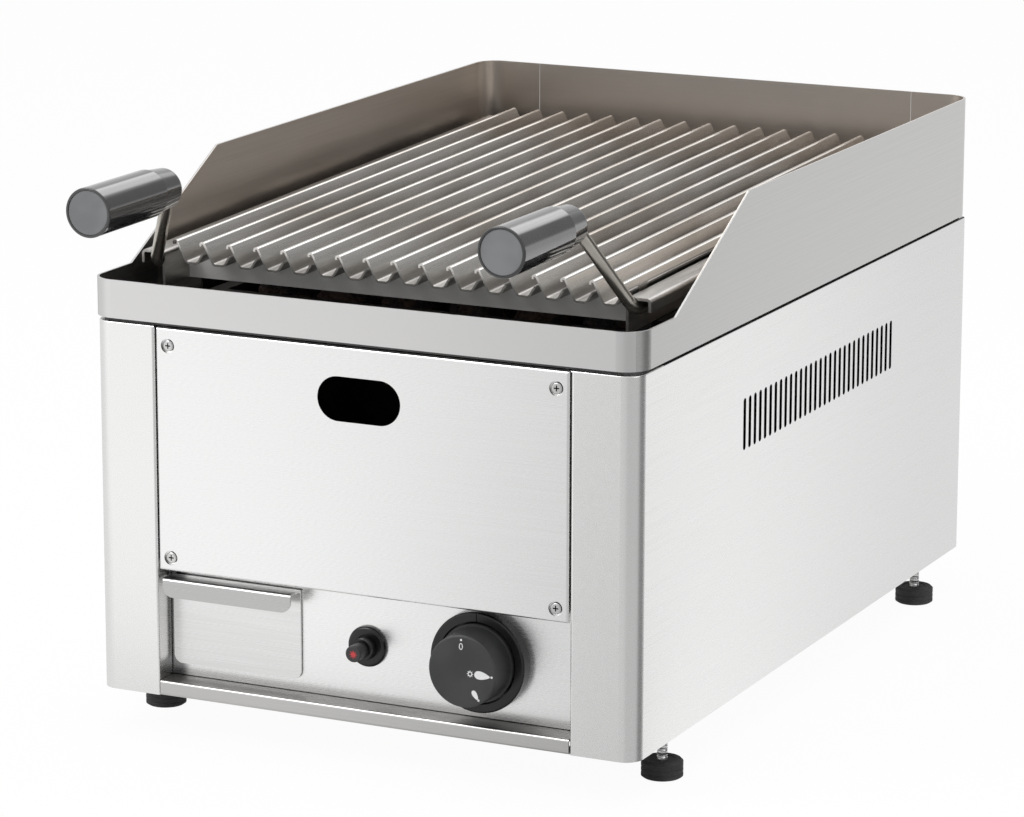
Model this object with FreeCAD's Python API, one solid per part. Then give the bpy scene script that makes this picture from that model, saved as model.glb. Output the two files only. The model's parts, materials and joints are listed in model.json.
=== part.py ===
import FreeCAD, Part
import math
import os
import random
from FreeCAD import Vector

# Counter-top gas lava stone grill with one burner, in millimetres.
# X runs to the right, Y to the back and Z up, with Z = 0 on the worktop.
# While the model is built, Y = 0 is the front face of the body.
# Each piece is moved along Y at the end, so that the origin is the centre of the footprint.

# Body sizes
body_width = 326.6
body_depth = 493.0
body_height = 209.3
foot_height = 24.0
sheet = 1.0
bend = 1.5
corner_r = 10.0
rear_corner_r = 1.5
pillar_width = 38.3
panel_recess = 15.0
pillar_return = 14.0
side_flange = 14.0
bottom_flange = 24.0
rear_flange = 18.0
panel_gap = 1.0
seat_gap = 0.3

# Side wall slots
slot_count = 31
slot_pitch = 7.45
slot_width = 3.8
slot_height = 29.3
slot_first_y = 144.0
slot_mid_z = 153.6

# Front panel
front_panel_bottom = 72.2
front_panel_top_gap = 0.5
front_panel_depth = 10.0
sight_hole_width = 49.8
sight_hole_height = 24.7
sight_hole_z = 180.1
screw_inset = 8.0
screw_edge_gap = 7.0
screw_top_gap = 10.0
dimple_r = 4.1
dimple_depth = 2.2
screw_head_r = 3.2
screw_r = 2.0
screw_hole_play = 0.05

# Control panel, front lip and rear panel
lip_height = 8.5
control_sheet = 1.2
control_panel_height = 71.0
control_flange = 12.0
inlet_side_gap = 45.3
inlet_z = 46.0

# Controls
control_z = 41.4
knob_x = 66.9
knob_face_y = -11.0
knob_r = 20.5
knob_skirt_r = 21.8
knob_skirt = 3.0
knob_travel = 4.0
knob_bezel_r = 28.0
knob_bezel_depth = 8.0
bezel_wall = 5.0
igniter_x = -2.4
igniter_z = 40.1
igniter_base_r = 11.5
igniter_collar_r = 7.0
button_r = 4.6
button_face_y = -3.5
button_travel = 5.0
running_play = 0.06

# Drawer
drawer_side_gap = 2.2
drawer_width = 79.6
drawer_bottom = 15.8
drawer_top = 67.0
drawer_front_sheet = 1.2
drawer_lip = 12.0
drawer_lip_drop = 10.5
drawer_length = 330.0
tray_sheet = 0.8
tray_inset = 4.0
tray_floor_z = 19.0
tray_height = 42.0
drawer_opening_play = 1.6

# Deck, gasket and splash guard
gasket_thick = 2.2
gasket_inset = 3.0
gasket_width = 9.0
deck_sheet = 1.5
guard_overhang = 1.7
guard_sheet = 1.2
guard_corner_r = 14.0
guard_front_height = 21.2
guard_height = 72.3
guard_slope_start = 44.0
guard_slope_end = 142.0
guard_seam_inset = 39.0
guard_seam = 0.4

# Grate
grate_tilt = 1.2
grate_shift = -1.6
grate_front_y = 41.0
grate_rear_gap = 16.0
grate_rise = 12.7
grate_side_gap = 23.3
grate_sheet = 1.5
grate_side_height = 20.0
grate_flange = 13.0
grate_flange_drop = 7.5
cross_plate_y = 68.0
cross_plate_height = 14.0
bar_pitch = 16.8
bar_sheet = 1.2
bar_left_gap = 5.7
bar_right_gap = 5.5
bar_height = 11.8
bar_hook = 2.6
bar_top = 2.2
bar_wall_run = 5.9
bar_gutter = 5.9
bar_lip_run = 3.1
bar_lip_rise = 5.1
rod_r = 3.5
rod_play = 0.5
rod_seat_gap = 0.2
rod_low_y = 40.0
rod_low_rise = 26.3
rod_high_side_gap = 42.8
rod_high_y = 15.0
rod_high_rise = 74.7
rod_tail = 80.0
rod_low_bend = 10.0
rod_high_bend = 7.0
rod_in_grip = 66.0
grip_r = 13.5
grip_rear_r = 12.0
grip_front_y = -71.5
grip_rear_y = 10.5
grip_step_y = -10.0
grip_cap = 3.0
grip_cap_rim = 1.5
grip_cap_drop = 0.3

# Firebox and stones
firebox_side_gap = 37.3
firebox_front = 80.0
firebox_rear_gap = 43.0
firebox_hang = 91.3
firebox_sheet = 1.5
firebox_rim = 8.0
rack_drop = 25.3
stone_rod_r = 2.5
ledge_width = 12.0
stone_r = 19.4
stone_pitch = 40.2
stone_gap = 0.3
shield_gap = 26.0
shield_lap = 14.0
support_width = 14.0

# Grease path
trough_front = 22.0
trough_rear = 66.0
trough_side_gap = 29.3
trough_high = 8.0
trough_low = 22.0
trough_flat = 40.0
trough_sheet = 1.2
trough_rim = 5.0
drain_inset = 30.0
drain_r = 9.5
drain_wall = 1.2
drain_spout = 14.0
chute_clearance = 3.0

# Gas train
burner_x = 55.0
burner_rise = 30.0
burner_r = 15.0
burner_wall = 1.2
burner_front = 112.0
burner_rear_gap = 25.0
port_r = 1.5
port_pitch = 12.0
venturi_mouth_y = 36.0
venturi_mouth_r = 17.0
venturi_throat_r = 10.5
venturi_wall = 1.5
venturi_fit = 0.1
valve_half_width = 17.0
valve_half_height = 20.0
valve_depth = 46.0
spindle_r = 4.0
pushrod_r = 1.6
pipe_r = 6.0
pipe_wall = 1.0
pipe_bend = 18.0
feed_r = 4.0
feed_wall = 0.8
inlet_thread_r = 10.48
inlet_neck_r = 10.2
locknut_depth = 5.0
inlet_reach = 24.0
inlet_bore_r = 6.6

# Feet
foot_side_inset = 9.3
foot_front_y = 57.0
foot_rear_inset = 50.0
foot_pad_r = 11.5
foot_pad_height = 10.0
stud_r = 3.0
stud_play = 0.05
stud_hole_r = 3.7
stud_spare = 8.0
foot_nut_height = 5.0
foot_nut_across = 10.0

# Levels and half sizes that follow from the sizes above
half_w = body_width / 2
pillar_in = half_w - pillar_width
z0 = foot_height
z_top = z0 + body_height
z_deck = z_top + gasket_thick
z_deck_top = z_deck + deck_sheet
z_control = z0 + control_z
z_igniter = z0 + igniter_z
z_firebox = z_top - firebox_hang
z_rack = z_top - rack_drop
z_shield = z_firebox - shield_gap
z_burner = z_firebox + burner_rise
z_rod_low = z_top + rod_low_rise
z_rod_high = z_top + rod_high_rise
guard_half = half_w + guard_overhang
guard_seam_x = guard_half - guard_seam_inset
foot_x = half_w - foot_side_inset
inlet_x = half_w - inlet_side_gap
drawer_left = drawer_side_gap - pillar_in
drawer_right = drawer_left + drawer_width
trough_half = half_w - trough_side_gap
drain_x = drain_inset - trough_half
grate_side_x = half_w - grate_side_gap
grate_rear_y = body_depth - grate_rear_gap
rod_high_x = half_w - rod_high_side_gap
bar_first_x = bar_left_gap - grate_side_x
bar_count = 1 + int((2 * grate_side_x - bar_left_gap - bar_right_gap) / bar_pitch + 0.01)
firebox_x = half_w - firebox_side_gap
firebox_rear = body_depth - firebox_rear_gap
burner_rear = firebox_rear - burner_rear_gap
stone_columns = int(2 * (firebox_x - firebox_sheet) / stone_pitch)
stone_rows = int((firebox_rear - firebox_front - 2 * firebox_sheet) / stone_pitch)
guard_front_y = -guard_overhang
guard_rear_y = body_depth + guard_overhang
z_floor = z0 + 2 * sheet


def box(x0, x1, y0, y1, z0_, z1):
    return Part.makeBox(x1 - x0, y1 - y0, z1 - z0_, Vector(x0, y0, z0_))


def cyl_x(x0, x1, y, z, r):
    return Part.makeCylinder(r, x1 - x0, Vector(x0, y, z), Vector(1, 0, 0))


def cyl_y(x, y0, y1, z, r):
    return Part.makeCylinder(r, y1 - y0, Vector(x, y0, z), Vector(0, 1, 0))


def cyl_z(x, y, z_low, z_high, r):
    return Part.makeCylinder(r, z_high - z_low, Vector(x, y, z_low), Vector(0, 0, 1))


def tube_y(x, y0, y1, z, r_out, r_in):
    return cyl_y(x, y0, y1, z, r_out).cut(cyl_y(x, y0 - 1, y1 + 1, z, r_in))


def tube_z(x, y, z_low, z_high, r_out, r_in):
    return cyl_z(x, y, z_low, z_high, r_out).cut(cyl_z(x, y, z_low - 1, z_high + 1, r_in))


def prism_z(centre, z_low, height, across, sides=6):
    """Upright prism with the given width across its flats."""
    r = across / 2 / math.cos(math.pi / sides)
    points = []
    for i in range(sides + 1):
        a = 2 * math.pi * i / sides
        points.append(Vector(centre[0] + r * math.cos(a), centre[1] + r * math.sin(a), z_low))
    return Part.Face(Part.makePolygon(points)).extrude(Vector(0, 0, height))


def prism_y(x, z, y_low, length, across, sides=6):
    """Prism along Y with the given width across its flats."""
    r = across / 2 / math.cos(math.pi / sides)
    points = []
    for i in range(sides + 1):
        a = 2 * math.pi * i / sides
        points.append(Vector(x + r * math.cos(a), y_low, z + r * math.sin(a)))
    return Part.Face(Part.makePolygon(points)).extrude(Vector(0, length, 0))


def fuse(shapes):
    whole = shapes[0]
    for shape in shapes[1:]:
        whole = whole.fuse(shape)
    return whole.removeSplitter()


def mirror_x(shape):
    return shape.mirror(Vector(0, 0, 0), Vector(1, 0, 0))


def rounded_edges(points, radii):
    """Line and arc edges along an open run of points, with a radius at each inner point."""
    edges = []
    start = points[0]
    for i in range(1, len(points) - 1):
        before = (points[i] - points[i - 1]).normalize()
        after = (points[i + 1] - points[i]).normalize()
        turn = before.getAngle(after)
        r = radii[i - 1]
        if r < 1e-6 or turn < 1e-6:
            edges.append(Part.LineSegment(start, points[i]).toShape())
            start = points[i]
            continue
        reach = r * math.tan(turn / 2)
        first = points[i] - before * reach
        last = points[i] + after * reach
        inward = (after - before).normalize()
        middle = points[i] + inward * (r / math.cos(turn / 2) - r)
        if (first - start).Length > 1e-6:
            edges.append(Part.LineSegment(start, first).toShape())
        edges.append(Part.Arc(first, middle, last).toShape())
        start = last
    if (points[-1] - start).Length > 1e-6:
        edges.append(Part.LineSegment(start, points[-1]).toShape())
    return edges


def folded(points, radii, thick, place, length):
    """Bent sheet: a path of (u, v) points, its bend radii, and the sheet on its left.

    A negative thickness puts the sheet on the right of the path.
    place turns (u, v) into a point of space, and length is the extrusion vector.
    """
    count = len(points)
    steps = []
    for i in range(count - 1):
        du = points[i + 1][0] - points[i][0]
        dv = points[i + 1][1] - points[i][1]
        size = math.hypot(du, dv)
        steps.append((du / size, dv / size))
    other = []
    other_radii = []
    for i in range(count):
        a = steps[max(i - 1, 0)]
        b = steps[min(i, count - 2)]
        na = (-a[1], a[0])
        nb = (-b[1], b[0])
        scale = thick / (1 + na[0] * nb[0] + na[1] * nb[1])
        other.append((points[i][0] + (na[0] + nb[0]) * scale, points[i][1] + (na[1] + nb[1]) * scale))
        if 0 < i < count - 1:
            left_turn = a[0] * b[1] - a[1] * b[0] > 0
            other_radii.append(max(radii[i - 1] - thick if left_turn else radii[i - 1] + thick, 0))
    near = [place(*p) for p in points]
    far = [place(*p) for p in other]
    edges = rounded_edges(near, radii)
    edges.append(Part.LineSegment(near[-1], far[-1]).toShape())
    edges += rounded_edges(far[::-1], other_radii[::-1])
    edges.append(Part.LineSegment(far[0], near[0]).toShape())
    wire = Part.Wire(Part.__sortEdges__(edges))
    return Part.Face(wire).extrude(length)


def rounded_plate(x0, x1, y0, y1, z_low, height, front_r, rear_r):
    """Plate in plan with rounded front and rear corners."""
    mid = (x0 + x1) / 2
    corners = [(mid, y0), (x1, y0), (x1, y1), (x0, y1), (x0, y0), (mid, y0)]
    points = [Vector(x, y, z_low) for x, y in corners]
    edges = rounded_edges(points, [front_r, rear_r, rear_r, front_r])
    return Part.Face(Part.Wire(edges)).extrude(Vector(0, 0, height))


def swept(points, radii, r, wall=0):
    """Round bar, or tube with a wall, along straight runs joined by tangent arcs."""
    path = Part.Wire(rounded_edges(points, radii))
    along = points[1] - points[0]

    def solid(radius):
        ring = Part.Wire(Part.makeCircle(radius, points[0], along))
        return path.makePipeShell([ring], True, False)

    body = solid(r)
    if wall:
        body = body.cut(solid(r - wall))
    return body


def stadium_y(x, z, y0, y1, width, height):
    """Slot-shaped block along Y, its long way along X."""
    r = height / 2
    half = width / 2 - r
    return fuse([box(x - half, x + half, y0, y1, z - r, z + r), cyl_y(x - half, y0, y1, z, r),
                 cyl_y(x + half, y0, y1, z, r)])


def upright_slot_x(y, z, x0, x1, width, height):
    """Slot-shaped block along X, its long way along Z."""
    r = width / 2
    half = height / 2 - r
    block = box(x0, x1, y - r, y + r, z - half, z + half)
    return fuse([block, cyl_x(x0, x1, y, z - half, r), cyl_x(x0, x1, y, z + half, r)])


def coil(x, y0, y1, z, r, wire_r, turns):
    """Compression spring along Y, as one wire swept along pairs of tangent arcs."""
    steps = int(turns * 4)
    rise = (y1 - y0 - 2 * wire_r) / steps

    def station(i):
        a = math.pi / 2 * i
        at = Vector(x + r * math.cos(a), y0 + wire_r + rise * i, z + r * math.sin(a))
        along = Vector(-r * math.sin(a) * math.pi / 2, rise, r * math.cos(a) * math.pi / 2)
        return at, along.normalize()

    def arc(start, corner, end):
        weight = (end - start).Length / 2 / (corner - start).Length
        return Part.Arc(start, (start + corner * (2 * weight) + end) * (0.5 / (1 + weight)), end).toShape()

    edges = []
    for i in range(steps):
        p, t = station(i)
        q, s = station(i + 1)
        v = q - p
        both = t + s
        k = 2 * (1 - t.dot(s))
        reach = (-v.dot(both) + math.sqrt(v.dot(both) ** 2 + k * v.dot(v))) / k
        corner_p = p + t * reach
        corner_q = q - s * reach
        middle = (corner_p + corner_q) * 0.5
        edges += [arc(p, corner_p, middle), arc(middle, corner_q, q)]
    start, along = station(0)
    ring = Part.Wire(Part.makeCircle(wire_r, start, along))
    return Part.Wire(edges).makePipeShell([ring], True, False)


def xy(z):
    return lambda u, v: Vector(u, v, z)


def yz(x):
    return lambda u, v: Vector(x, u, v)


def xz(y):
    return lambda u, v: Vector(u, y, v)


# Casing

def side_panel():
    """Right side wall with its front pillar, its returns and its top and bottom flanges."""
    path = [(pillar_in + pillar_return, panel_recess), (pillar_in, panel_recess), (pillar_in, 0),
            (half_w, 0), (half_w, body_depth), (half_w - rear_flange, body_depth)]
    wall = folded(path, [bend, bend, corner_r, rear_corner_r], sheet, xy(z0),
                  Vector(0, 0, body_height))
    plan = rounded_plate(-half_w, half_w, 0, body_depth, 0, sheet, corner_r, rear_corner_r)
    top = plan.translated(Vector(0, 0, z_top - sheet))
    keep_side = box(half_w - side_flange, half_w, 0, body_depth, z_top - sheet, z_top)
    keep_front = box(pillar_in, half_w, 0, side_flange, z_top - sheet, z_top)
    top = top.common(fuse([keep_side, keep_front]))
    bottom = plan.translated(Vector(0, 0, z0))
    bottom = bottom.common(box(half_w - bottom_flange, half_w, panel_recess, body_depth, z0, z0 + sheet))
    panel = fuse([wall, top, bottom])
    rim = rounded_plate(-half_w, half_w, 0, body_depth, z_top, 1, corner_r, rear_corner_r)
    rim = min((f for f in rim.Faces), key=lambda f: f.CenterOfMass.z).OuterWire
    picked = []
    for edge in panel.Edges:
        if edge.BoundBox.ZMin > z_top - 0.01:
            middle = edge.valueAt((edge.FirstParameter + edge.LastParameter) / 2)
            if rim.distToShape(Part.Vertex(middle))[0] < 0.01:
                picked.append(edge)
    panel = panel.makeFillet(0.9 * sheet, picked)
    slots = []
    for i in range(slot_count):
        y = slot_first_y + i * slot_pitch
        slots.append(upright_slot_x(y, z0 + slot_mid_z, half_w - 2 * sheet, half_w + sheet,
                                    slot_width, slot_height))
    for y in (foot_front_y, body_depth - foot_rear_inset):
        slots.append(cyl_z(foot_x, y, z0 - 1, z0 + 2 * sheet, stud_hole_r))
    for z in rear_screw_z:
        slots.append(cyl_y(rear_screw_x, rear_panel_y - 1, body_depth + 1, z, screw_r + screw_hole_play))
    return panel.cut(Part.Compound(slots))


rear_panel_y = body_depth - sheet
rear_half = half_w - rear_corner_r - seat_gap
rear_screw_x = half_w - rear_flange / 2 - 1
rear_screw_z = [z0 + 24, z0 + body_height / 2, z_top - 22]


def rear_panel():
    """Rear sheet inside the side walls' rear flanges, with vents and the gas inlet's hole."""
    path = [(rear_panel_y - 11, z_floor), (rear_panel_y, z_floor), (rear_panel_y, z_top - sheet - seat_gap),
            (rear_panel_y - 11, z_top - sheet - seat_gap)]
    panel = folded(path, [bend, bend], sheet, yz(-rear_half), Vector(2 * rear_half, 0, 0))
    cuts = [cyl_y(inlet_x, rear_panel_y - 3, rear_panel_y + 1, z0 + inlet_z, inlet_thread_r + 0.4)]
    for row in (0, 1):
        for i in range(13):
            x = (i - 6) * 2.4 * slot_pitch
            cuts.append(stadium_y(x, z_top - 40 - 14 * row, rear_panel_y - 3, rear_panel_y + 1,
                                  1.8 * slot_pitch, slot_width))
    for x in (-rear_screw_x, rear_screw_x):
        for z in rear_screw_z:
            cuts.append(cyl_y(x, rear_panel_y - 3, rear_panel_y + 1, z, screw_r + screw_hole_play))
    return panel.cut(Part.Compound(cuts))


def base_plate():
    """Floor of the body, with the low front lip and the shelf behind it."""
    shelf_back = panel_recess + control_sheet + 1.3
    path = [(12, z0), (0, z0), (0, z0 + lip_height), (shelf_back, z0 + lip_height),
            (shelf_back, z_floor), (rear_panel_y - sheet - seat_gap, z_floor)]
    lip_half = pillar_in - panel_gap / 2
    plate = folded(path, [bend, bend, bend, bend], -sheet, yz(-lip_half), Vector(2 * lip_half, 0, 0))
    floor_half = half_w - sheet - seat_gap
    floor = box(-floor_half, floor_half, shelf_back + 1, rear_panel_y - sheet - seat_gap,
                z_floor - sheet, z_floor)
    plate = fuse([plate, floor])
    holes = [cyl_z(x, y, z0, z_floor + 1, stud_hole_r) for x, y in foot_places()]
    return plate.cut(Part.Compound(holes))


def foot_places():
    rear = body_depth - foot_rear_inset
    return [(-foot_x, foot_front_y), (foot_x, foot_front_y), (-foot_x, rear), (foot_x, rear)]


def foot(x, y):
    """Levelling foot: rubber pad and threaded stud."""
    pad = cyl_z(x, y, 0, foot_pad_height, foot_pad_r)
    pad = pad.makeChamfer(1.2, [e for e in pad.Edges if len(e.Vertexes) == 1 and e.BoundBox.ZMin > 1])
    top = z_floor + foot_nut_height + stud_spare
    stud = cyl_z(x, y, foot_pad_height, top, stud_r)
    return Part.Compound([pad, stud])


def foot_nuts():
    nuts = []
    for x, y in foot_places():
        nut = prism_z((x, y), z_floor, foot_nut_height, foot_nut_across)
        nuts.append(nut.cut(cyl_z(x, y, z_floor - 1, z_floor + 9, stud_r + stud_play)))
    return Part.Compound(nuts)


front_half = pillar_in - panel_gap
front_low = z0 + front_panel_bottom
front_high = z_top - front_panel_top_gap
screw_x = front_half - screw_edge_gap - 0.5
screw_places = [(s * screw_x, z) for s in (-1, 1) for z in (front_low + screw_inset - 0.6,
                                                            front_high - screw_top_gap)]


def front_panel():
    """Upper front sheet, a shallow tray with pressed screw cups and the sight hole."""
    tray = box(-front_half, front_half, 0, front_panel_depth, front_low, front_high)
    front_edges = [e for e in tray.Edges if e.BoundBox.YMax < 0.01]
    tray = tray.makeFillet(bend, front_edges)
    tray = tray.cut(box(-front_half + sheet, front_half - sheet, sheet, front_panel_depth + 1,
                        front_low + sheet, front_high - sheet))
    cups = [cyl_y(x, sheet / 2, dimple_depth + sheet, z, dimple_r + sheet) for x, z in screw_places]
    tray = fuse([tray] + cups)
    cuts = []
    for x, z in screw_places:
        cuts.append(cyl_y(x, -1, dimple_depth, z, dimple_r))
        cuts.append(cyl_y(x, 0, dimple_depth + 2 * sheet, z, screw_r + screw_hole_play))
    notch = 4.0
    for x in (-front_half, front_half - notch):
        for z in (front_low, front_high - notch):
            cuts.append(box(x, x + notch, 2 * bend, front_panel_depth + 1, z, z + notch))
    cuts.append(stadium_y(0.3, z0 + sight_hole_z, -1, 2 * sheet, sight_hole_width, sight_hole_height))
    return tray.cut(Part.Compound(cuts))


rail_thick = 1.2


def front_panel_rails():
    """Upright strips behind the front panel that its screws bite into."""
    rails = []
    for side in (-1, 1):
        inner = pillar_in - 21
        z_low = z0 + control_z + control_panel_height - 25
        leaf = box(inner, pillar_in, front_panel_depth, front_panel_depth + rail_thick, z_low, front_high)
        leg = box(pillar_in - rail_thick, pillar_in, front_panel_depth, panel_recess + pillar_return,
                  z_low, z_deck_top - trough_low - 4)
        rail = fuse([leaf, leg])
        if side < 0:
            rail = mirror_x(rail)
        rails.append(rail)
    holes = [cyl_y(x, front_panel_depth - 1, front_panel_depth + 3, z, screw_r + screw_hole_play)
             for x, z in screw_places]
    return Part.Compound([rail.cut(Part.Compound(holes)) for rail in rails])


def pan_screw(x, z, y_seat, length, toward=1):
    """Cross-head screw along Y, its head in front of y_seat when toward is 1."""
    head = cyl_y(x, y_seat - 1.9, y_seat, z, screw_head_r)
    head = head.makeFillet(0.9, [e for e in head.Edges if e.BoundBox.YMax < y_seat - 1])
    shank = cyl_y(x, y_seat - 0.5, y_seat + length, z, screw_r)
    screw = fuse([head, shank])
    cross = [box(x - 1.6, x + 1.6, y_seat - 2.5, y_seat - 0.9, z - 0.35, z + 0.35),
             box(x - 0.35, x + 0.35, y_seat - 2.5, y_seat - 0.9, z - 1.6, z + 1.6)]
    screw = screw.cut(fuse(cross))
    if toward < 0:
        screw = screw.mirror(Vector(x, y_seat, z), Vector(0, 1, 0))
    return screw


def front_panel_screws():
    length = front_panel_depth + rail_thick + 3 - dimple_depth
    return Part.Compound([pan_screw(x, z, dimple_depth, length) for x, z in screw_places])


def rear_panel_screws():
    screws = []
    for x in (-rear_screw_x, rear_screw_x):
        for z in rear_screw_z:
            screws.append(pan_screw(x, z, body_depth, 8, toward=-1))
    return Part.Compound(screws)


control_low = z0 + lip_height + 0.4
control_half = pillar_in + pillar_return + 0.5
opening_left = drawer_left + drawer_opening_play
opening_right = drawer_right - drawer_opening_play
opening_low = z0 + drawer_bottom + drawer_opening_play
opening_high = z0 + drawer_top - drawer_opening_play
bezel_neck_r = 8.9


def control_panel():
    """Set-back lower front sheet that carries the drawer opening, the igniter and the knob."""
    z_high = control_low + control_panel_height
    back = panel_recess + control_sheet
    panel = fuse([box(-control_half, control_half, panel_recess, back, control_low, z_high),
                  box(-control_half, control_half, panel_recess, back + control_flange,
                      z_high - control_sheet, z_high)])
    cuts = [box(opening_left, opening_right, panel_recess - 1, back + 1, opening_low, opening_high),
            cyl_y(igniter_x, panel_recess - 1, back + 1, z_igniter, bezel_neck_r + 0.2),
            cyl_y(knob_x, panel_recess - 1, back + 1, z_control, spindle_r + 5),
            box(valve_outlet_x - 10, valve_outlet_x + 8, feed_y - 5.5, back + control_flange + 1,
                z_high - 3 * sheet, z_high + 1)]
    return panel.cut(Part.Compound(cuts))


# Top deck and splash guard

def deck_gasket():
    """Black heat-proof strip between the body and the deck."""
    i = gasket_inset
    outer = rounded_plate(-half_w + i, half_w - i, i, body_depth - i, z_top, gasket_thick,
                          corner_r - i, max(rear_corner_r - i, 0))
    w = i + gasket_width
    inner = box(-half_w + w, half_w - w, w, body_depth - w, z_top - 1, z_top + gasket_thick + 1)
    return outer.cut(inner)


def deck_plate():
    """Top plate with the openings for the grease trough and the firebox."""
    x = guard_half - guard_sheet
    inner_r = guard_corner_r - guard_sheet
    plate = rounded_plate(-x, x, guard_front_y + guard_sheet, guard_rear_y - guard_sheet, z_deck,
                          deck_sheet, inner_r, inner_r)
    cuts = [box(-trough_half, trough_half, trough_front, trough_rear, z_deck - 1, z_deck_top + 1),
            box(-firebox_x - seat_gap, firebox_x + seat_gap, firebox_front - seat_gap,
                firebox_rear + seat_gap, z_deck - 1, z_deck_top + 1)]
    return plate.cut(Part.Compound(cuts))


def guard_ring():
    outer = rounded_plate(-guard_half, guard_half, guard_front_y, guard_rear_y, z_deck, guard_height,
                          guard_corner_r, guard_corner_r)
    t = guard_sheet
    r = guard_corner_r - t
    inner = rounded_plate(-guard_half + t, guard_half - t, guard_front_y + t, guard_rear_y - t,
                          z_deck - 1, guard_height + 2, r, r)
    return outer.cut(inner)


def splash_guard():
    """One sheet round the front and the sides, low in front, that turns the rear corners."""
    ring = guard_ring()
    low = z_deck + guard_front_height
    high = z_deck + guard_height + 1
    front = guard_front_y - 1
    profile = [Vector(-guard_half - 1, y, z) for y, z in (
        (front, low), (guard_slope_start, low), (guard_slope_end, z_deck + guard_height),
        (guard_slope_end, high), (front, high), (front, low))]
    cut_away = Part.Face(Part.makePolygon(profile)).extrude(Vector(2 * guard_half + 2, 0, 0))
    rear_gap = box(-guard_seam_x, guard_seam_x, body_depth - 8, guard_rear_y + 1, z_deck - 1, high)
    return ring.cut(cut_away).cut(rear_gap)


def splash_guard_back():
    """Rear sheet of the splash guard, between the two seams."""
    x = guard_seam_x - guard_seam
    return box(-x, x, guard_rear_y - guard_sheet, guard_rear_y, z_deck, z_deck + guard_height)


# Grease path

def grease_trough():
    """Gutter under the front ends of the bars, falling to the drain spout at its left."""
    t = trough_sheet
    left = -trough_half + seat_gap
    right = trough_half - seat_gap
    flat_end = -trough_half + trough_flat + 2 * drain_r

    def body(shrink, top):
        z_high = z_deck_top
        points = [(left + shrink, top), (left + shrink, z_high - trough_low + shrink),
                  (flat_end, z_high - trough_low + shrink), (right - shrink, z_high - trough_high + shrink),
                  (right - shrink, top), (left + shrink, top)]
        face = Part.Face(Part.makePolygon([Vector(u, trough_front + seat_gap + shrink, v) for u, v in points]))
        return face.extrude(Vector(0, trough_rear - trough_front - 2 * seat_gap - 2 * shrink, 0))

    rim = box(left - trough_rim, right + trough_rim, trough_front - trough_rim, trough_rear + trough_rim,
              z_deck_top, z_deck_top + t)
    y = (trough_front + trough_rear) / 2
    floor_z = z_deck_top - trough_low
    spout = cyl_z(drain_x, y, floor_z - drain_spout, floor_z + t / 2, drain_r + drain_wall)
    pan = fuse([body(0, z_deck_top + t), rim, spout])
    pan = pan.cut(body(t, z_deck_top + t + 1))
    return pan.cut(cyl_z(drain_x, y, floor_z - drain_spout - 1, floor_z + t + 1, drain_r))


def drain_chute():
    """Tube that leads the grease from the spout down to the drawer."""
    y = (trough_front + trough_rear) / 2
    r_in = drain_r + drain_wall + seat_gap
    z_high = z_deck_top - trough_low
    z_low = z0 + tray_floor_z + tray_height + chute_clearance
    tube = tube_z(drain_x, y, z_low, z_high, r_in + drain_wall, r_in)
    return tube


# Firebox, stones and heat shield

def firebox():
    """Open-bottomed tub that hangs in the deck by its rim and carries the burner's rear end."""
    t = firebox_sheet
    walls = box(-firebox_x, firebox_x, firebox_front, firebox_rear, z_firebox, z_deck_top + t)
    walls = walls.cut(box(-firebox_x + t, firebox_x - t, firebox_front + t, firebox_rear - t,
                          z_firebox - 1, z_deck_top + t + 1))
    rim = box(-firebox_x - firebox_rim, firebox_x + firebox_rim, firebox_front - firebox_rim,
              firebox_rear + firebox_rim, z_deck_top, z_deck_top + t)
    rim = rim.cut(box(-firebox_x + t, firebox_x - t, firebox_front + t, firebox_rear - t,
                      z_deck_top - 1, z_deck_top + t + 1))
    rim = rim.cut(box(-firebox_x - 9, firebox_x + 9, 0, trough_rear + trough_rim + seat_gap,
                      z_deck_top - 1, z_deck_top + t + 1))
    cradle = box(-burner_x, burner_x, burner_rear - 8, firebox_rear, z_burner - burner_r - t,
                 z_burner - burner_r)
    tub = fuse([walls, rim, cradle])
    sight = stadium_y(0.3, z0 + sight_hole_z, firebox_front - 1, firebox_front + 2 * t,
                      sight_hole_width, sight_hole_height)
    holes = [sight, cyl_y(burner_x, firebox_front - 1, firebox_front + 2 * t, z_burner, burner_r + 0.1),
             cyl_y(electrode_x, firebox_front - 1, firebox_front + 2 * t, z_electrode, electrode_r + 0.1),
             cyl_y(probe_x, firebox_front - 1, firebox_front + 2 * t, z_probe, probe_r + 0.1)]
    return tub.cut(Part.Compound(holes))


def stone_grate_ledges():
    ledges = []
    t = firebox_sheet
    x = firebox_x - t
    z = z_rack
    path = [(x, z - ledge_width), (x, z), (x - ledge_width, z)]
    ledge = folded(path, [bend], t, xz(firebox_front + 12), Vector(0, firebox_rear - firebox_front - 24, 0))
    ledges.append(ledge)
    ledges.append(mirror_x(ledge))
    return Part.Compound(ledges)


def stone_grate():
    """Welded wire rack that carries the lava stones."""
    z = z_rack + seat_gap + stone_rod_r
    x = firebox_x - firebox_sheet - 2
    mid_y = (firebox_front + firebox_rear) / 2
    half_rods = stone_rows - 1
    rods = []
    for i in range(-half_rods, half_rods + 1):
        rods.append(cyl_x(-x, x, mid_y + i * stone_pitch / 2, z, stone_rod_r))
    reach = half_rods * stone_pitch / 2 + 2 * stone_rod_r
    for rail_x in (-x * 0.62, 0, x * 0.62):
        rods.append(cyl_y(rail_x, mid_y - reach, mid_y + reach, z - 2 * stone_rod_r, stone_rod_r))
    return Part.Compound(rods)


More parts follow.
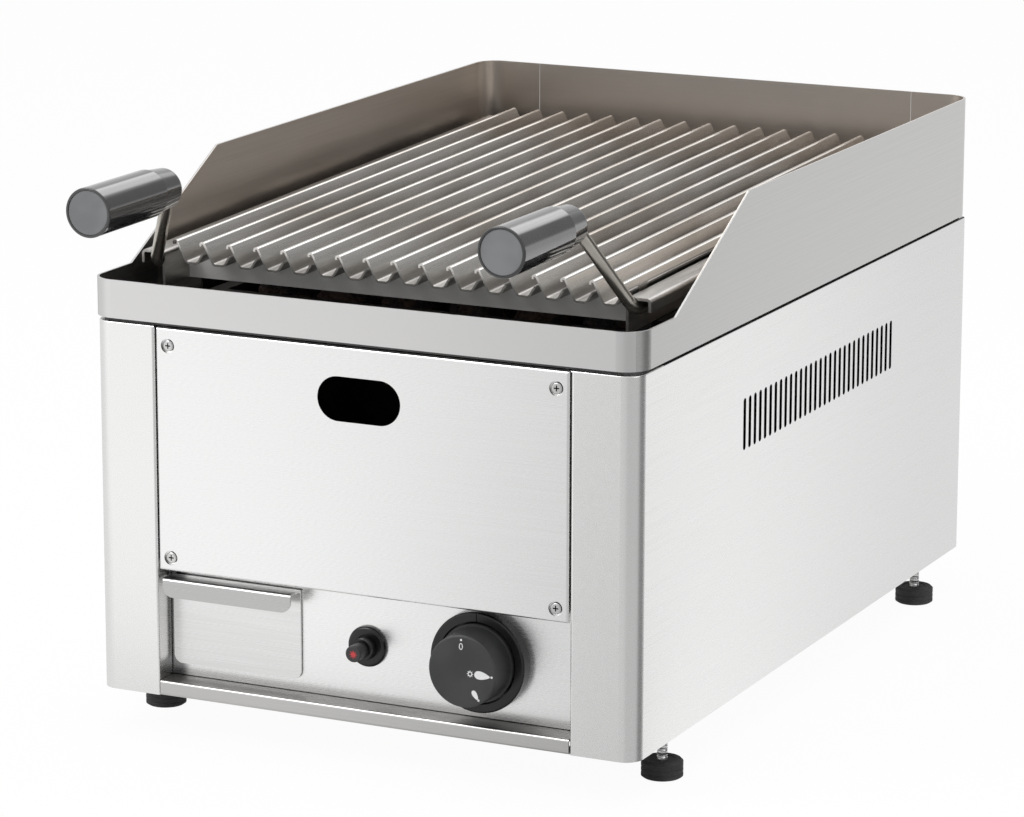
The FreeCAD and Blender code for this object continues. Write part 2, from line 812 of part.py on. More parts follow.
def stone(seat, seed):
    """Rough lump with flat faces inside its own cell, its flattened underside on the seat point."""
    rng = random.Random(seed)
    g = (1 + math.sqrt(5)) / 2
    base = [(0, s, t * g) for s in (-1, 1) for t in (-1, 1)]
    base += [(s, t * g, 0) for s in (-1, 1) for t in (-1, 1)]
    base += [(t * g, 0, s) for s in (-1, 1) for t in (-1, 1)]
    turn = FreeCAD.Rotation(rng.uniform(0, 360), rng.uniform(0, 360), rng.uniform(0, 360))
    corners = []
    for p in base:
        reach = stone_r * rng.uniform(0.82, 1.0)
        corners.append(turn.multVec(Vector(*p).normalize() * reach))
    edge = 2.0
    faces = []
    for i in range(12):
        for j in range(i + 1, 12):
            for k in range(j + 1, 12):
                a, b, c = (Vector(*base[n]) for n in (i, j, k))
                if max((a - b).Length, (b - c).Length, (c - a).Length) < edge + 0.01:
                    order = [corners[n] for n in (i, j, k)]
                    faces.append(Part.Face(Part.makePolygon(order + order[:1])))
    lump = Part.Solid(Part.makeShell(faces))
    if lump.Volume < 0:
        lump.reverse()
    low = -0.62 * stone_r
    lump = lump.common(box(-stone_r, stone_r, -stone_r, stone_r, low, stone_r))
    return lump.translated(Vector(seat.x, seat.y, seat.z - low))


def lava_stones():
    lumps = []
    z = z_rack + seat_gap + 2 * stone_rod_r + stone_gap
    mid_y = (firebox_front + firebox_rear) / 2
    for row in range(stone_rows):
        for column in range(stone_columns):
            x = (column - (stone_columns - 1) / 2) * stone_pitch
            y = mid_y + (row - (stone_rows - 1) / 2) * stone_pitch
            lumps.append(stone(Vector(x, y, z), 100 * row + column))
    return Part.Compound(lumps)


def heat_shield():
    """Bent plate under the burner that keeps its heat off the drawer and the pipes."""
    t = sheet
    x = firebox_x + t
    high = z_firebox + shield_lap
    path = [(x, high), (x, z_shield), (-x, z_shield), (-x, high)]
    return folded(path, [3.0, 3.0], -t, xz(firebox_front + 4), Vector(0, firebox_rear - firebox_front - 8, 0))


# Burner and gas train

electrode_x = 88.0
electrode_r = 3.5
z_electrode = z_burner + 10
probe_x = 34.0
probe_r = 2.2
z_probe = z_burner + 19
igniter_neck_end = 30.0
piezo_end = 62.0
spring_wire_r = 0.5


def burner():
    """Two-legged tube burner with cross tubes at both ends and rows of flame ports on top."""
    r_in = burner_r - burner_wall
    cross_r = burner_r - 0.5
    neck = firebox_front - 8
    left_front = burner_front - burner_r - 2
    outer = [cyl_y(-burner_x, left_front, burner_rear, z_burner, burner_r),
             cyl_y(burner_x, neck, burner_rear, z_burner, burner_r)]
    bores = [cyl_y(-burner_x, left_front + burner_wall, burner_rear - burner_wall, z_burner, r_in),
             cyl_y(burner_x, neck - 1, burner_rear - burner_wall, z_burner, r_in)]
    for y in (burner_front, burner_rear - burner_r - 4):
        outer.append(cyl_x(-burner_x, burner_x, y, z_burner, cross_r))
        bores.append(cyl_x(-burner_x, burner_x, y, z_burner, cross_r - burner_wall))
    tube = fuse(outer).cut(fuse(bores))
    ports = []
    count = int((burner_rear - burner_front - 60) / port_pitch)
    for x in (-burner_x, burner_x):
        for i in range(count):
            y = burner_front + 26 + i * port_pitch
            ports.append(cyl_z(x, y, z_burner, z_burner + burner_r + 1, port_r))
    return tube.cut(Part.Compound(ports))


def venturi():
    """Mixing tube: bell mouth with air openings, throat and a plain end inside the burner."""
    r_end = burner_r - burner_wall - venturi_fit
    y = venturi_mouth_y
    w = venturi_wall
    end = firebox_front + 20
    outer = [(y, venturi_mouth_r), (y + 6, venturi_mouth_r), (y + 18, venturi_throat_r + w),
             (y + 24, venturi_throat_r + w), (firebox_front - 12, r_end), (end, r_end)]
    inner = [(end, r_end - w), (firebox_front - 12, r_end - w), (y + 24, venturi_throat_r),
             (y + 18, venturi_throat_r), (y + 7, venturi_mouth_r - w), (y, venturi_mouth_r - w)]
    points = [Vector(burner_x, u, z_burner + v) for u, v in outer + inner]
    profile = Part.Face(Part.makePolygon(points + points[:1]))
    tube = profile.revolve(Vector(burner_x, 0, z_burner), Vector(0, 1, 0), 360)
    arms = []
    for s in (-1, 1):
        x = burner_x + s * (venturi_mouth_r - w)
        x_low, x_high = min(x, x + s * w), max(x, x + s * w)
        arms.append(box(x_low, x_high, injector_back - 5, y + 3, z_burner - 4, z_burner + 4))
        x_in = burner_x + s * injector_half
        arms.append(box(min(x + s * w, x_in), max(x + s * w, x_in), injector_back - 5, injector_back - 5 + w,
                        z_burner - 4, z_burner + 4))
    return fuse([tube] + arms)


injector_front = 17.5
injector_back = 29.0
injector_half = 6.5


def injector():
    """Brass elbow with the gas jet that points into the bell mouth."""
    body = box(burner_x - injector_half, burner_x + injector_half, injector_front, injector_back,
               z_burner - 9, z_burner + injector_half)
    jet = cyl_y(burner_x, injector_back, injector_back + 8, z_burner, 4.0)
    tip = Part.makeCone(4.0, 1.5, 4, Vector(burner_x, injector_back + 8, z_burner), Vector(0, 1, 0))
    boss_y = (injector_front + injector_back) / 2
    boss = prism_z((burner_x, boss_y), z_burner - 17, 8, 11)
    whole = fuse([body, jet, tip, boss])
    bore = [cyl_y(burner_x, boss_y, injector_back + 9, z_burner, 1.6),
            cyl_y(burner_x, injector_back + 8, injector_back + 13, z_burner, 0.6),
            cyl_z(burner_x, boss_y, z_burner - 18, z_burner + 1, feed_r - feed_wall)]
    socket = cyl_z(burner_x, boss_y, z_burner - 18, z_burner - 10, feed_r)
    return whole.cut(fuse(bore + [socket]))


valve_front = panel_recess + control_sheet
valve_back = valve_front + valve_depth
spindle_shoulder = valve_front + 12
shoulder_thick = 3.0
shoulder_r = 7.5
chamber_r = 8.6
chamber_front = spindle_shoulder - 0.5
chamber_back = spindle_shoulder + shoulder_thick + 18
pushrod_gap = 0.3
feed_y = (injector_front + injector_back) / 2
valve_outlet_x = knob_x + 6


def gas_valve():
    """Cast gas tap with a flame-failure valve, its inlet, outlet and spindle chamber."""
    x0 = knob_x - valve_half_width
    x1 = knob_x + valve_half_width
    block = box(x0, x1, valve_front, valve_back, z_control - valve_half_height, z_control + valve_half_height)
    block = block.makeFillet(3, [e for e in block.Edges if abs(e.BoundBox.YLength - valve_depth) < 0.01])
    magnet = cyl_y(knob_x, valve_back, valve_back + 16, z_control, 9.5)
    outlet = prism_z((valve_outlet_x, feed_y), z_control + valve_half_height, 9, 13)
    inlet = prism_x(x1, x1 + 9, valve_back - 14, z_control, 17)
    lead_boss = cyl_y(knob_x, valve_back + 16, valve_back + 21, z_control, 4)
    body = fuse([block, magnet, outlet, inlet, lead_boss])
    cuts = [cyl_y(knob_x, valve_front - 1, chamber_front + 1, z_control, spindle_r + running_play),
            cyl_y(knob_x, chamber_front, chamber_back, z_control, chamber_r),
            cyl_y(knob_x, chamber_back - 1, valve_back + 6, z_control, pushrod_r + running_play),
            cyl_z(valve_outlet_x, feed_y, z_control + valve_half_height - 3,
                  z_control + valve_half_height + 10, feed_r),
            cyl_x(x1 - 4, x1 + 10, valve_back - 14, z_control, pipe_r)]
    return body.cut(Part.Compound(cuts))


def prism_x(x0, x1, y, z, across):
    r = across / 2 / math.cos(math.pi / 6)
    points = []
    for i in range(7):
        a = math.pi / 3 * i
        points.append(Vector(x0, y + r * math.cos(a), z + r * math.sin(a)))
    return Part.Face(Part.makePolygon(points)).extrude(Vector(x1 - x0, 0, 0))


def valve_spindle():
    """Spindle with the flat that drives the knob and the shoulder that the spring bears on."""
    rod = cyl_y(knob_x, knob_face_y + 6, spindle_shoulder + shoulder_thick, z_control, spindle_r)
    flat = box(knob_x - 5, knob_x + 5, knob_face_y + 5, panel_recess - knob_bezel_depth, z_control + 2.6,
               z_control + 5)
    shoulder = cyl_y(knob_x, spindle_shoulder, spindle_shoulder + shoulder_thick, z_control, shoulder_r)
    return fuse([rod.cut(flat), shoulder])


def valve_pushrod():
    """Thin rod behind the spindle that opens the flame-failure valve."""
    y0 = spindle_shoulder + shoulder_thick + pushrod_gap
    disc = cyl_y(knob_x, y0, y0 + 1.5, z_control, shoulder_r)
    return fuse([disc, cyl_y(knob_x, y0, valve_back - 1, z_control, pushrod_r)])


def valve_spring():
    y0 = spindle_shoulder + shoulder_thick + pushrod_gap + 1.5 + seat_gap
    return coil(knob_x, y0, chamber_back - seat_gap, z_control, chamber_r - 2.2, spring_wire_r + 0.1, 5)


def knob_bezel():
    """Fixed black ring round the knob, with its pointer groove at the top."""
    front = panel_recess - knob_bezel_depth
    ring = cyl_y(knob_x, front, panel_recess, z_control, knob_bezel_r)
    ring = ring.makeFillet(1.2, [e for e in ring.Edges if e.BoundBox.YMax < front + 0.01])
    ring = ring.cut(cyl_y(knob_x, front - 1, panel_recess - 1.2, z_control, knob_bezel_r - bezel_wall))
    ring = ring.cut(cyl_y(knob_x, front, panel_recess + 1, z_control, spindle_r + 1.5))
    groove = box(knob_x - 0.4, knob_x + 0.4, front - 1, front + 0.5, z_control + knob_bezel_r - bezel_wall - 1,
                 z_control + knob_bezel_r + 1)
    return ring.cut(groove)


def knob():
    """Round control knob with a skirt, bored for the flatted spindle."""
    back = panel_recess - 1.2 - knob_travel - 0.8
    skirt = cyl_y(knob_x, back - knob_skirt, back, z_control, knob_skirt_r)
    length = back - knob_face_y
    body = Part.makeCone(knob_r - 0.6, knob_r, length, Vector(knob_x, knob_face_y, z_control), Vector(0, 1, 0))
    whole = fuse([skirt, body])
    edges = [e for e in whole.Edges if e.BoundBox.YMax < knob_face_y + 0.01]
    whole = whole.makeFillet(1.2, edges)
    bore = cyl_y(knob_x, knob_face_y + 6 - seat_gap, back + 1, z_control, spindle_r + running_play)
    key = box(knob_x - 5, knob_x + 5, knob_face_y + 6 - seat_gap, panel_recess - knob_bezel_depth - seat_gap,
              z_control + 2.6 + running_play, z_control + 6)
    return whole.cut(bore.cut(key))


def feed_pipe():
    """Small tube from the valve's outlet up to the injector."""
    low = z_control + valve_half_height - 2.5
    high = z_burner - 10.5
    shift_low = (low + high) / 2 - 17.3
    points = [Vector(valve_outlet_x, feed_y, low), Vector(valve_outlet_x, feed_y, shift_low),
              Vector(burner_x, feed_y, shift_low + 30), Vector(burner_x, feed_y, high)]
    return swept(points, [14, 14], feed_r - 0.02, feed_wall)


def gas_pipe():
    """Supply tube along the right side, from the rear inlet to the valve."""
    y = valve_back - 14
    z = z_control
    x_valve = knob_x + valve_half_width + 1
    points = [Vector(x_valve - 3, y, z), Vector(inlet_x, y, z), Vector(inlet_x, y + 46, z),
              Vector(inlet_x, y + 90, z0 + inlet_z), Vector(inlet_x, rear_panel_y - 18, z0 + inlet_z)]
    side_bend = min(pipe_bend, inlet_x - x_valve)
    return swept(points, [side_bend, 30, 30], pipe_r - 0.02, pipe_wall)


def gas_inlet():
    """Threaded inlet connector through the rear panel, its neck in the locknut a little thinner."""
    y = rear_panel_y - sheet
    z = z0 + inlet_z
    tip = body_depth + inlet_reach
    thread = cyl_y(inlet_x, rear_panel_y + locknut_depth + 0.5, tip, z, inlet_thread_r)
    neck = cyl_y(inlet_x, y - 4, tip - 3, z, inlet_neck_r)
    hexagon = prism_y(inlet_x, z, y - 12, 12, 27)
    whole = fuse([thread, neck, hexagon])
    whole = whole.makeChamfer(1.0, [e for e in whole.Edges if e.BoundBox.YMin > tip - 0.01])
    bore = [cyl_y(inlet_x, y - 13, tip + 1, z, inlet_bore_r - 2),
            cyl_y(inlet_x, y + 6, tip + 1, z, inlet_bore_r),
            cyl_y(inlet_x, y - 13, y - 5, z, pipe_r)]
    return whole.cut(fuse(bore))


def inlet_locknut():
    y = rear_panel_y
    z = z0 + inlet_z
    nut = prism_y(inlet_x, z, y, locknut_depth, 28)
    return nut.cut(cyl_y(inlet_x, y - 1, y + locknut_depth + 1, z, inlet_neck_r + 0.05))


def thermocouple():
    """Flame probe fixed in the firebox's front wall, its tip beside the burner leg."""
    probe = cyl_y(probe_x, firebox_front - 14, burner_front + 22, z_probe, probe_r)
    tip = Part.makeSphere(probe_r, Vector(probe_x, burner_front + 22, z_probe))
    nut = prism_y(probe_x, z_probe, firebox_front - 6, 6, 9)
    return fuse([probe, tip, nut])


def thermocouple_lead():
    """Copper lead from the probe back to the valve's magnet."""
    y_probe = firebox_front - 14
    y_valve = valve_back + 21
    points = [Vector(probe_x, y_probe, z_probe), Vector(probe_x, y_probe - 14, z_probe),
              Vector(probe_x, y_probe - 14, z_control + 45), Vector(knob_x - 26, y_probe + 14, z_control + 14),
              Vector(knob_x - 14, y_valve + 22, z_control), Vector(knob_x, y_valve + 16, z_control),
              Vector(knob_x, y_valve, z_control)]
    return swept(points, [8, 16, 14, 6, 5], 1.0)


def ignition_electrode():
    """Ceramic spark electrode with a bent wire tip over the burner leg."""
    ceramic = cyl_y(electrode_x, firebox_front - 24, firebox_front + 26, z_electrode, electrode_r)
    collar = cyl_y(electrode_x, firebox_front - 4, firebox_front, z_electrode, electrode_r + 2.5)
    y = burner_front + 14
    wire = swept([Vector(electrode_x, firebox_front + 20, z_electrode), Vector(electrode_x, y, z_electrode),
                  Vector(burner_x + 8, y, z_burner + burner_r + 4)], [4], 1.0)
    return fuse([ceramic, collar, wire])


def ignition_lead():
    """Insulated high-voltage lead from the piezo igniter to the electrode."""
    y = firebox_front - 24
    points = [Vector(igniter_x, piezo_end + 4, z_igniter), Vector(igniter_x, piezo_end + 22, z_igniter),
              Vector(igniter_x + 4, piezo_end + 24, z_igniter + 34), Vector(electrode_x - 12, y - 6, z_electrode - 58),
              Vector(electrode_x + 6, y - 14, z_electrode - 16), Vector(electrode_x, y - 12, z_electrode),
              Vector(electrode_x, y, z_electrode)]
    return swept(points, [10, 14, 16, 8, 5], 1.8)


def igniter_bezel():
    """Black flange and threaded neck of the push igniter."""
    front = panel_recess - 3
    flange = cyl_y(igniter_x, front, panel_recess, z_igniter, igniter_base_r)
    flange = flange.makeFillet(2.0, [e for e in flange.Edges if e.BoundBox.YMax < front + 0.01])
    collar = Part.makeCone(igniter_collar_r - 0.8, igniter_collar_r, 7,
                           Vector(igniter_x, front - 6.5, z_igniter), Vector(0, 1, 0))
    neck = cyl_y(igniter_x, panel_recess - 1, igniter_neck_end, z_igniter, bezel_neck_r)
    whole = fuse([flange, collar, neck])
    bore = [cyl_y(igniter_x, front - 8, igniter_neck_end + 1, z_igniter, button_r + running_play),
            cyl_y(igniter_x, igniter_neck_end - 7, igniter_neck_end + 1, z_igniter, 6.5)]
    return whole.cut(fuse(bore))


def igniter_nut():
    y = panel_recess + control_sheet
    nut = prism_y(igniter_x, z_igniter, y, 4, 22)
    return nut.cut(cyl_y(igniter_x, y - 1, y + 5, z_igniter, bezel_neck_r + 0.05))


def piezo_igniter():
    """Piezo striker body behind the neck, with the lead's terminal."""
    body = cyl_y(igniter_x, igniter_neck_end, piezo_end, z_igniter, bezel_neck_r)
    terminal = cyl_y(igniter_x, piezo_end, piezo_end + 4, z_igniter, 3.0)
    bore = cyl_y(igniter_x, igniter_neck_end - 1, igniter_neck_end + 14, z_igniter, 6.5)
    return fuse([body, terminal]).cut(bore)


button_shoulder_y = igniter_neck_end - 6.5


def igniter_button():
    """Round push button with the shoulder that keeps it in the neck."""
    stem = cyl_y(igniter_x, button_face_y, button_shoulder_y + 3, z_igniter, button_r)
    stem = stem.makeFillet(0.8, [e for e in stem.Edges if e.BoundBox.YMax < button_face_y + 0.01])
    shoulder = cyl_y(igniter_x, button_shoulder_y, button_shoulder_y + 3, z_igniter, 6.0)
    return fuse([stem, shoulder])


def igniter_spring():
    y0 = button_shoulder_y + 3 + seat_gap
    return coil(igniter_x, y0, igniter_neck_end + 14 - seat_gap, z_igniter, 4.6, spring_wire_r, 6)


# Drawer

drawer_face_y = panel_recess - 0.5 - drawer_front_sheet


def drawer_front():
    """Drawer front with rounded lower corners and the folded pull lip at its top."""
    t = drawer_front_sheet
    z_low = z0 + drawer_bottom
    z_high = z0 + drawer_top
    lip_y = drawer_face_y - drawer_lip
    path = [(drawer_face_y + t, z_low), (drawer_face_y + t, z_high), (lip_y, z_high),
            (lip_y, z_high - drawer_lip_drop)]
    sheet_body = folded(path, [2.0, 2.0], t, yz(drawer_left), Vector(drawer_right - drawer_left, 0, 0))

    def corner(x, z, r, sx, y0, y1):
        block = box(min(x, x + sx * r), max(x, x + sx * r), y0, y1, z, z + r)
        return block.cut(cyl_y(x + sx * r, y0 - 1, y1 + 1, z + r, r))

    cuts = []
    for x, sx in ((drawer_left, 1), (drawer_right, -1)):
        cuts.append(corner(x, z_low, 5.0, sx, drawer_face_y - 1, drawer_face_y + t + 1))
        cuts.append(corner(x, z_high - drawer_lip_drop, 6.0, sx, lip_y - 1, lip_y + t + 1))
    return sheet_body.cut(Part.Compound(cuts))


tray_left = opening_left + tray_inset / 2
tray_right = opening_right - tray_inset / 2
tray_front_y = drawer_face_y + drawer_front_sheet
tray_back_y = tray_front_y + drawer_length


def drawer_tray():
    """Open folded tray behind the drawer front that catches the grease."""
    t = tray_sheet
    z_low = z0 + tray_floor_z
    z_high = z_low + tray_height
    tray = box(tray_left, tray_right, tray_front_y, tray_back_y, z_low, z_high)
    upright = [e for e in tray.Edges
               if e.BoundBox.ZLength > tray_height - 0.01 and e.BoundBox.YMin > tray_back_y - 1]
    lower = [e for e in tray.Edges if e.BoundBox.ZMax < z_low + 0.01]
    tray = tray.makeFillet(bend, upright + lower)
    hollow = box(tray_left + t, tray_right - t, tray_front_y + t, tray_back_y - t, z_low + t, z_high + 1)
    return tray.cut(hollow)


def drawer_runners():
    """Two channel runners on legs that stand on the floor of the body."""
    runners = []
    play = 0.5
    shelf_z = z0 + tray_floor_z - seat_gap
    y0 = panel_recess + control_sheet + 6
    for side, edge_x in ((-1, tray_left - play), (1, tray_right + play)):
        out = edge_x + side * sheet
        wall = box(min(edge_x, out), max(edge_x, out), y0, tray_back_y + 4, shelf_z - sheet, shelf_z + 16)
        inner = edge_x - side * 10
        shelf = box(min(out, inner), max(out, inner), y0, tray_back_y + 4, shelf_z - sheet, shelf_z)
        parts = [wall, shelf]
        for y in (y0 + 2, (y0 + tray_back_y) / 2, tray_back_y - 20):
            parts.append(box(min(edge_x, out), max(edge_x, out), y, y + 20, z_floor, shelf_z))
            foot_x1 = edge_x + side * 9
            parts.append(box(min(edge_x, foot_x1), max(edge_x, foot_x1), y, y + 20, z_floor, z_floor + sheet))
        runners.append(fuse(parts))
    return Part.Compound(runners)


# Grate, built level and tilted afterwards

grate_z = z_top + grate_rise


def tilted(shape):
    turned = shape.copy()
    turned.rotate(Vector(0, grate_front_y, grate_z), Vector(1, 0, 0), grate_tilt)
    return turned


def rod_points():
    """Route of the right handle rod: under the flange, up and inward, then into the grip."""
    x = grate_side_x + grate_sheet / 2 + rod_r + rod_seat_gap
    z = z_rod_low
    return [Vector(x, rod_low_y + rod_tail, z + 1.5), Vector(x, rod_low_y, z),
            Vector(rod_high_x, rod_high_y, z_rod_high),
            Vector(rod_high_x, rod_high_y - rod_in_grip, z_rod_high)]


def handle_rod():
    return swept(rod_points(), [rod_low_bend, rod_high_bend], rod_r)


def grate_side():
    """Right side plate of the grate, with its outward flange and the notch for the rod."""
    x_in = grate_side_x - grate_sheet / 2
    z_high = grate_z + grate_side_height
    path = [(x_in, grate_z), (x_in, z_high), (x_in + grate_flange + grate_sheet, z_high),
            (x_in + grate_flange + grate_sheet, z_high - grate_flange_drop)]
    plate = folded(path, [2.5, 2.5], -grate_sheet, xz(grate_front_y),
                   Vector(0, grate_rear_y - grate_front_y, 0))
    return tilted(plate).cut(swept(rod_points(), [rod_low_bend, rod_high_bend], rod_r + rod_play)
                             .common(box(0, half_w, 0, grate_front_y + rod_r + 4, grate_z, z_rod_high)))


def grate_cross_plates():
    """Front and rear cross plates that carry the bars."""
    x = grate_side_x - grate_sheet / 2
    plates = []
    for y in (cross_plate_y, grate_rear_y - 12):
        plates.append(tilted(box(-x, x, y, y + grate_sheet, grate_z, grate_z + cross_plate_height)))
    return Part.Compound(plates)


def grate_bars():
    """Rolled gutter bars side by side, with a plain edge strip as the last one."""
    bars = []
    z_low = grate_z + cross_plate_height + bar_sheet
    z_high = z_low + bar_height
    length = Vector(0, grate_rear_y - 4 - grate_front_y, 0)
    for i in range(bar_count):
        x = bar_first_x + i * bar_pitch
        x1 = x + bar_top + bar_sheet
        wall = x1 + bar_wall_run
        path = [(x + 0.6, z_high - bar_hook), (x, z_high), (x1, z_high), (wall, z_low),
                (wall + bar_gutter, z_low), (wall + bar_gutter + bar_lip_run, z_low + bar_lip_rise)]
        radii = [1.5, 1.8, 1.6, 2.2]
        if i == bar_count - 1:
            share = 0.3
            path = path[:3] + [(x1 + bar_wall_run * share, z_high - bar_height * share)]
            radii = [1.5, 1.8]
        bars.append(tilted(folded(path, radii, -bar_sheet, xz(grate_front_y), length)))
    bars[-1] = fuse([bars[-1]] + edge_strip_tabs())
    return Part.Compound(bars)


def edge_strip_tabs():
    """Legs under the edge strip that stand on the cross plates."""
    tabs = []
    x = bar_first_x + (bar_count - 1) * bar_pitch + 1.4
    for y in (cross_plate_y, grate_rear_y - 12):
        tab = box(x, x + bar_sheet, y - 4, y + 6, grate_z + cross_plate_height,
                  grate_z + cross_plate_height + bar_height)
        tabs.append(tilted(tab))
    return tabs


def grip():
    """Right handle grip: round at the front with a seat for its cap, slimmer behind its step."""
    x = rod_high_x
    z = z_rod_high
    front = Part.makeCone(grip_r, grip_r - 0.3, grip_step_y - grip_front_y, Vector(x, grip_front_y, z),
                          Vector(0, 1, 0))
    front = front.makeFillet(0.7, [e for e in front.Edges if e.BoundBox.YMax < grip_front_y + 0.01])
    rear = Part.makeCone(grip_rear_r + 0.6, grip_rear_r - 1.0, grip_rear_y - grip_step_y,
                         Vector(x, grip_step_y, z), Vector(0, 1, 0))
    rear = rear.makeFillet(2.5, [e for e in rear.Edges if e.BoundBox.YMin > grip_rear_y - 0.01])
    body = fuse([front, rear])
    cuts = [cyl_y(x, rod_high_y - rod_in_grip - seat_gap, grip_rear_y + 1, z, rod_r + running_play),
            cyl_y(x, grip_rear_y - 5, grip_rear_y + 1, z, rod_r + 1.2),
            cyl_y(x, grip_front_y - 1, grip_front_y + grip_cap_drop + grip_cap, z, grip_r - grip_cap_rim)]
    return body.cut(fuse(cuts))


def grip_caps():
    """End caps of both grips, each a disc set into the grip's front."""
    x = rod_high_x
    y0 = grip_front_y + grip_cap_drop
    cap = cyl_y(x, y0, y0 + grip_cap, z_rod_high, grip_r - grip_cap_rim)
    cap = cap.makeFillet(0.4, [e for e in cap.Edges if e.BoundBox.YMax < y0 + 0.01])
    return Part.Compound([mirror_x(cap), cap])


def grate_supports():
    """Sheet rails on the deck whose sloping tops carry the grate's side plates."""
    y0 = cross_plate_y + 8
    y1 = grate_rear_y - 2
    slope = math.tan(math.radians(grate_tilt))
    drop = seat_gap / math.cos(math.radians(grate_tilt))

    def top(y):
        return grate_z + (y - grate_front_y) * slope - drop

    x_in = grate_side_x - 3
    web = [Vector(x_in, y0, z_deck_top), Vector(x_in, y1, z_deck_top), Vector(x_in, y1, top(y1)),
           Vector(x_in, y0, top(y0)), Vector(x_in, y0, z_deck_top)]
    web = Part.Face(Part.makePolygon(web)).extrude(Vector(sheet, 0, 0))
    foot_flange = box(x_in, x_in + support_width, y0, y1, z_deck_top, z_deck_top + sheet)
    ledge = [Vector(x_in, y0, top(y0)), Vector(x_in, y1, top(y1)), Vector(x_in, y1, top(y1) - sheet),
             Vector(x_in, y0, top(y0) - sheet), Vector(x_in, y0, top(y0))]
    ledge = Part.Face(Part.makePolygon(ledge)).extrude(Vector(support_width, 0, 0))
    rail = fuse([web, foot_flange, ledge])
    return Part.Compound([mirror_x(rail), rail])


side_right = side_panel()
grate_side_right = grate_side()
rod_right = handle_rod()
grip_right = grip()
feet = [foot(x, y) for x, y in foot_places()]

nodes = {
    "side_panel_left": mirror_x(side_right),
    "side_panel_right": side_right,
    "rear_panel": rear_panel(),
    "base_plate": base_plate(),
    "front_panel": front_panel(),
    "front_panel_rails": front_panel_rails(),
    "front_panel_screws": front_panel_screws(),
    "rear_panel_screws": rear_panel_screws(),
    "control_panel": control_panel(),
    "deck_gasket": deck_gasket(),
    "deck_plate": deck_plate(),
    "splash_guard": splash_guard(),
    "splash_guard_back": splash_guard_back(),
    "grease_trough": grease_trough(),
    "drain_chute": drain_chute(),
    "firebox": firebox(),
    "stone_grate_ledges": stone_grate_ledges(),
    "stone_grate": stone_grate(),
    "lava_stones": lava_stones(),
    "heat_shield": heat_shield(),
    "burner": burner(),
    "venturi": venturi(),
    "injector": injector(),
    "feed_pipe": feed_pipe(),
    "gas_valve": gas_valve(),
    "gas_pipe": gas_pipe(),
    "gas_inlet": gas_inlet(),
    "inlet_locknut": inlet_locknut(),
    "thermocouple": thermocouple(),
    "thermocouple_lead": thermocouple_lead(),
    "ignition_electrode": ignition_electrode(),
    "ignition_lead": ignition_lead(),
    "piezo_igniter": piezo_igniter(),
    "igniter_bezel": igniter_bezel(),
    "igniter_nut": igniter_nut(),
    "igniter_button": igniter_button(),
    "igniter_spring": igniter_spring(),
    "knob_bezel": knob_bezel(),
    "knob": knob(),
    "valve_spindle": valve_spindle(),
    "valve_pushrod": valve_pushrod(),
    "valve_spring": valve_spring(),
    "drawer_front": drawer_front(),
    "drawer_tray": drawer_tray(),
    "drawer_runners": drawer_runners(),
    "grate_bars": grate_bars(),
    "grate_side_left": mirror_x(grate_side_right),
    "grate_side_right": grate_side_right,
    "grate_cross_plates": grate_cross_plates(),
    "grate_supports": grate_supports(),
    "handle_rod_left": mirror_x(rod_right),
    "handle_rod_right": rod_right,
    "grip_left": mirror_x(grip_right),
    "grip_right": grip_right,
    "grip_caps": grip_caps(),
    "foot_nuts": foot_nuts(),
    "foot_front_left": feet[0],
    "foot_front_right": feet[1],
    "foot_rear_left": feet[2],
    "foot_rear_right": feet[3],
}

# The loose grate lies a little to the left of the middle
for name in ("grate_bars", "grate_side_left", "grate_side_right", "grate_cross_plates", "handle_rod_left",
             "handle_rod_right", "grip_left", "grip_right", "grip_caps"):
    nodes[name] = nodes[name].translated(Vector(grate_shift, 0, 0))

# The origin goes to the middle of the footprint, between the grips' caps and the gas inlet
middle_y = (grip_front_y + body_depth + inlet_reach) / 2
os.makedirs("parts", exist_ok=True)
for name, shape in nodes.items():
    placed = shape.translated(Vector(0, -middle_y, 0))
    placed.exportStep("parts/" + name + ".step")
    print(name, len(placed.Solids), round(placed.Volume), placed.isValid())
print(len(nodes), "nodes")
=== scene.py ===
import math
import json

import bpy
import bmesh
from mathutils import Matrix, Vector

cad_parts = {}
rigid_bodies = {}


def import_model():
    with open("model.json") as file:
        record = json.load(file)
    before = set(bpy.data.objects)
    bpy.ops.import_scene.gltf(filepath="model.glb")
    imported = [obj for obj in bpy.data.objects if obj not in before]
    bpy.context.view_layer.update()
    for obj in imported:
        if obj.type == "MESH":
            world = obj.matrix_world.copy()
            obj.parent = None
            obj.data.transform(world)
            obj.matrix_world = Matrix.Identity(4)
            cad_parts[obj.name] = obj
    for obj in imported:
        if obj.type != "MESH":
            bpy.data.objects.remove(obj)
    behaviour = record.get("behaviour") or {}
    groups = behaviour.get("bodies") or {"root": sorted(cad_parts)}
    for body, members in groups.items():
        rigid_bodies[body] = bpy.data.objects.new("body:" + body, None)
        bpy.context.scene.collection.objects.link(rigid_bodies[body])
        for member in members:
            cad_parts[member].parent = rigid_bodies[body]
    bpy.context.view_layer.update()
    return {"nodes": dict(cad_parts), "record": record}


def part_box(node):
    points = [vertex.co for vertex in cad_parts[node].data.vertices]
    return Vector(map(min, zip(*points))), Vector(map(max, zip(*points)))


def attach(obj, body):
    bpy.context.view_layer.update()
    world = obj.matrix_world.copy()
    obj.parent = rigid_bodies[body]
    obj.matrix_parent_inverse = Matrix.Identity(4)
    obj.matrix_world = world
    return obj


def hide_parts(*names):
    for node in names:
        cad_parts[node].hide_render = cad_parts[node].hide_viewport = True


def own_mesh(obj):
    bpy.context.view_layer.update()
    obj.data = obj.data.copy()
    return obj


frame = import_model()
nodes = frame["nodes"]
print("grill frame loaded:", len(nodes), "nodes")


# Shader helpers: an expression on sockets adds its own Math nodes.

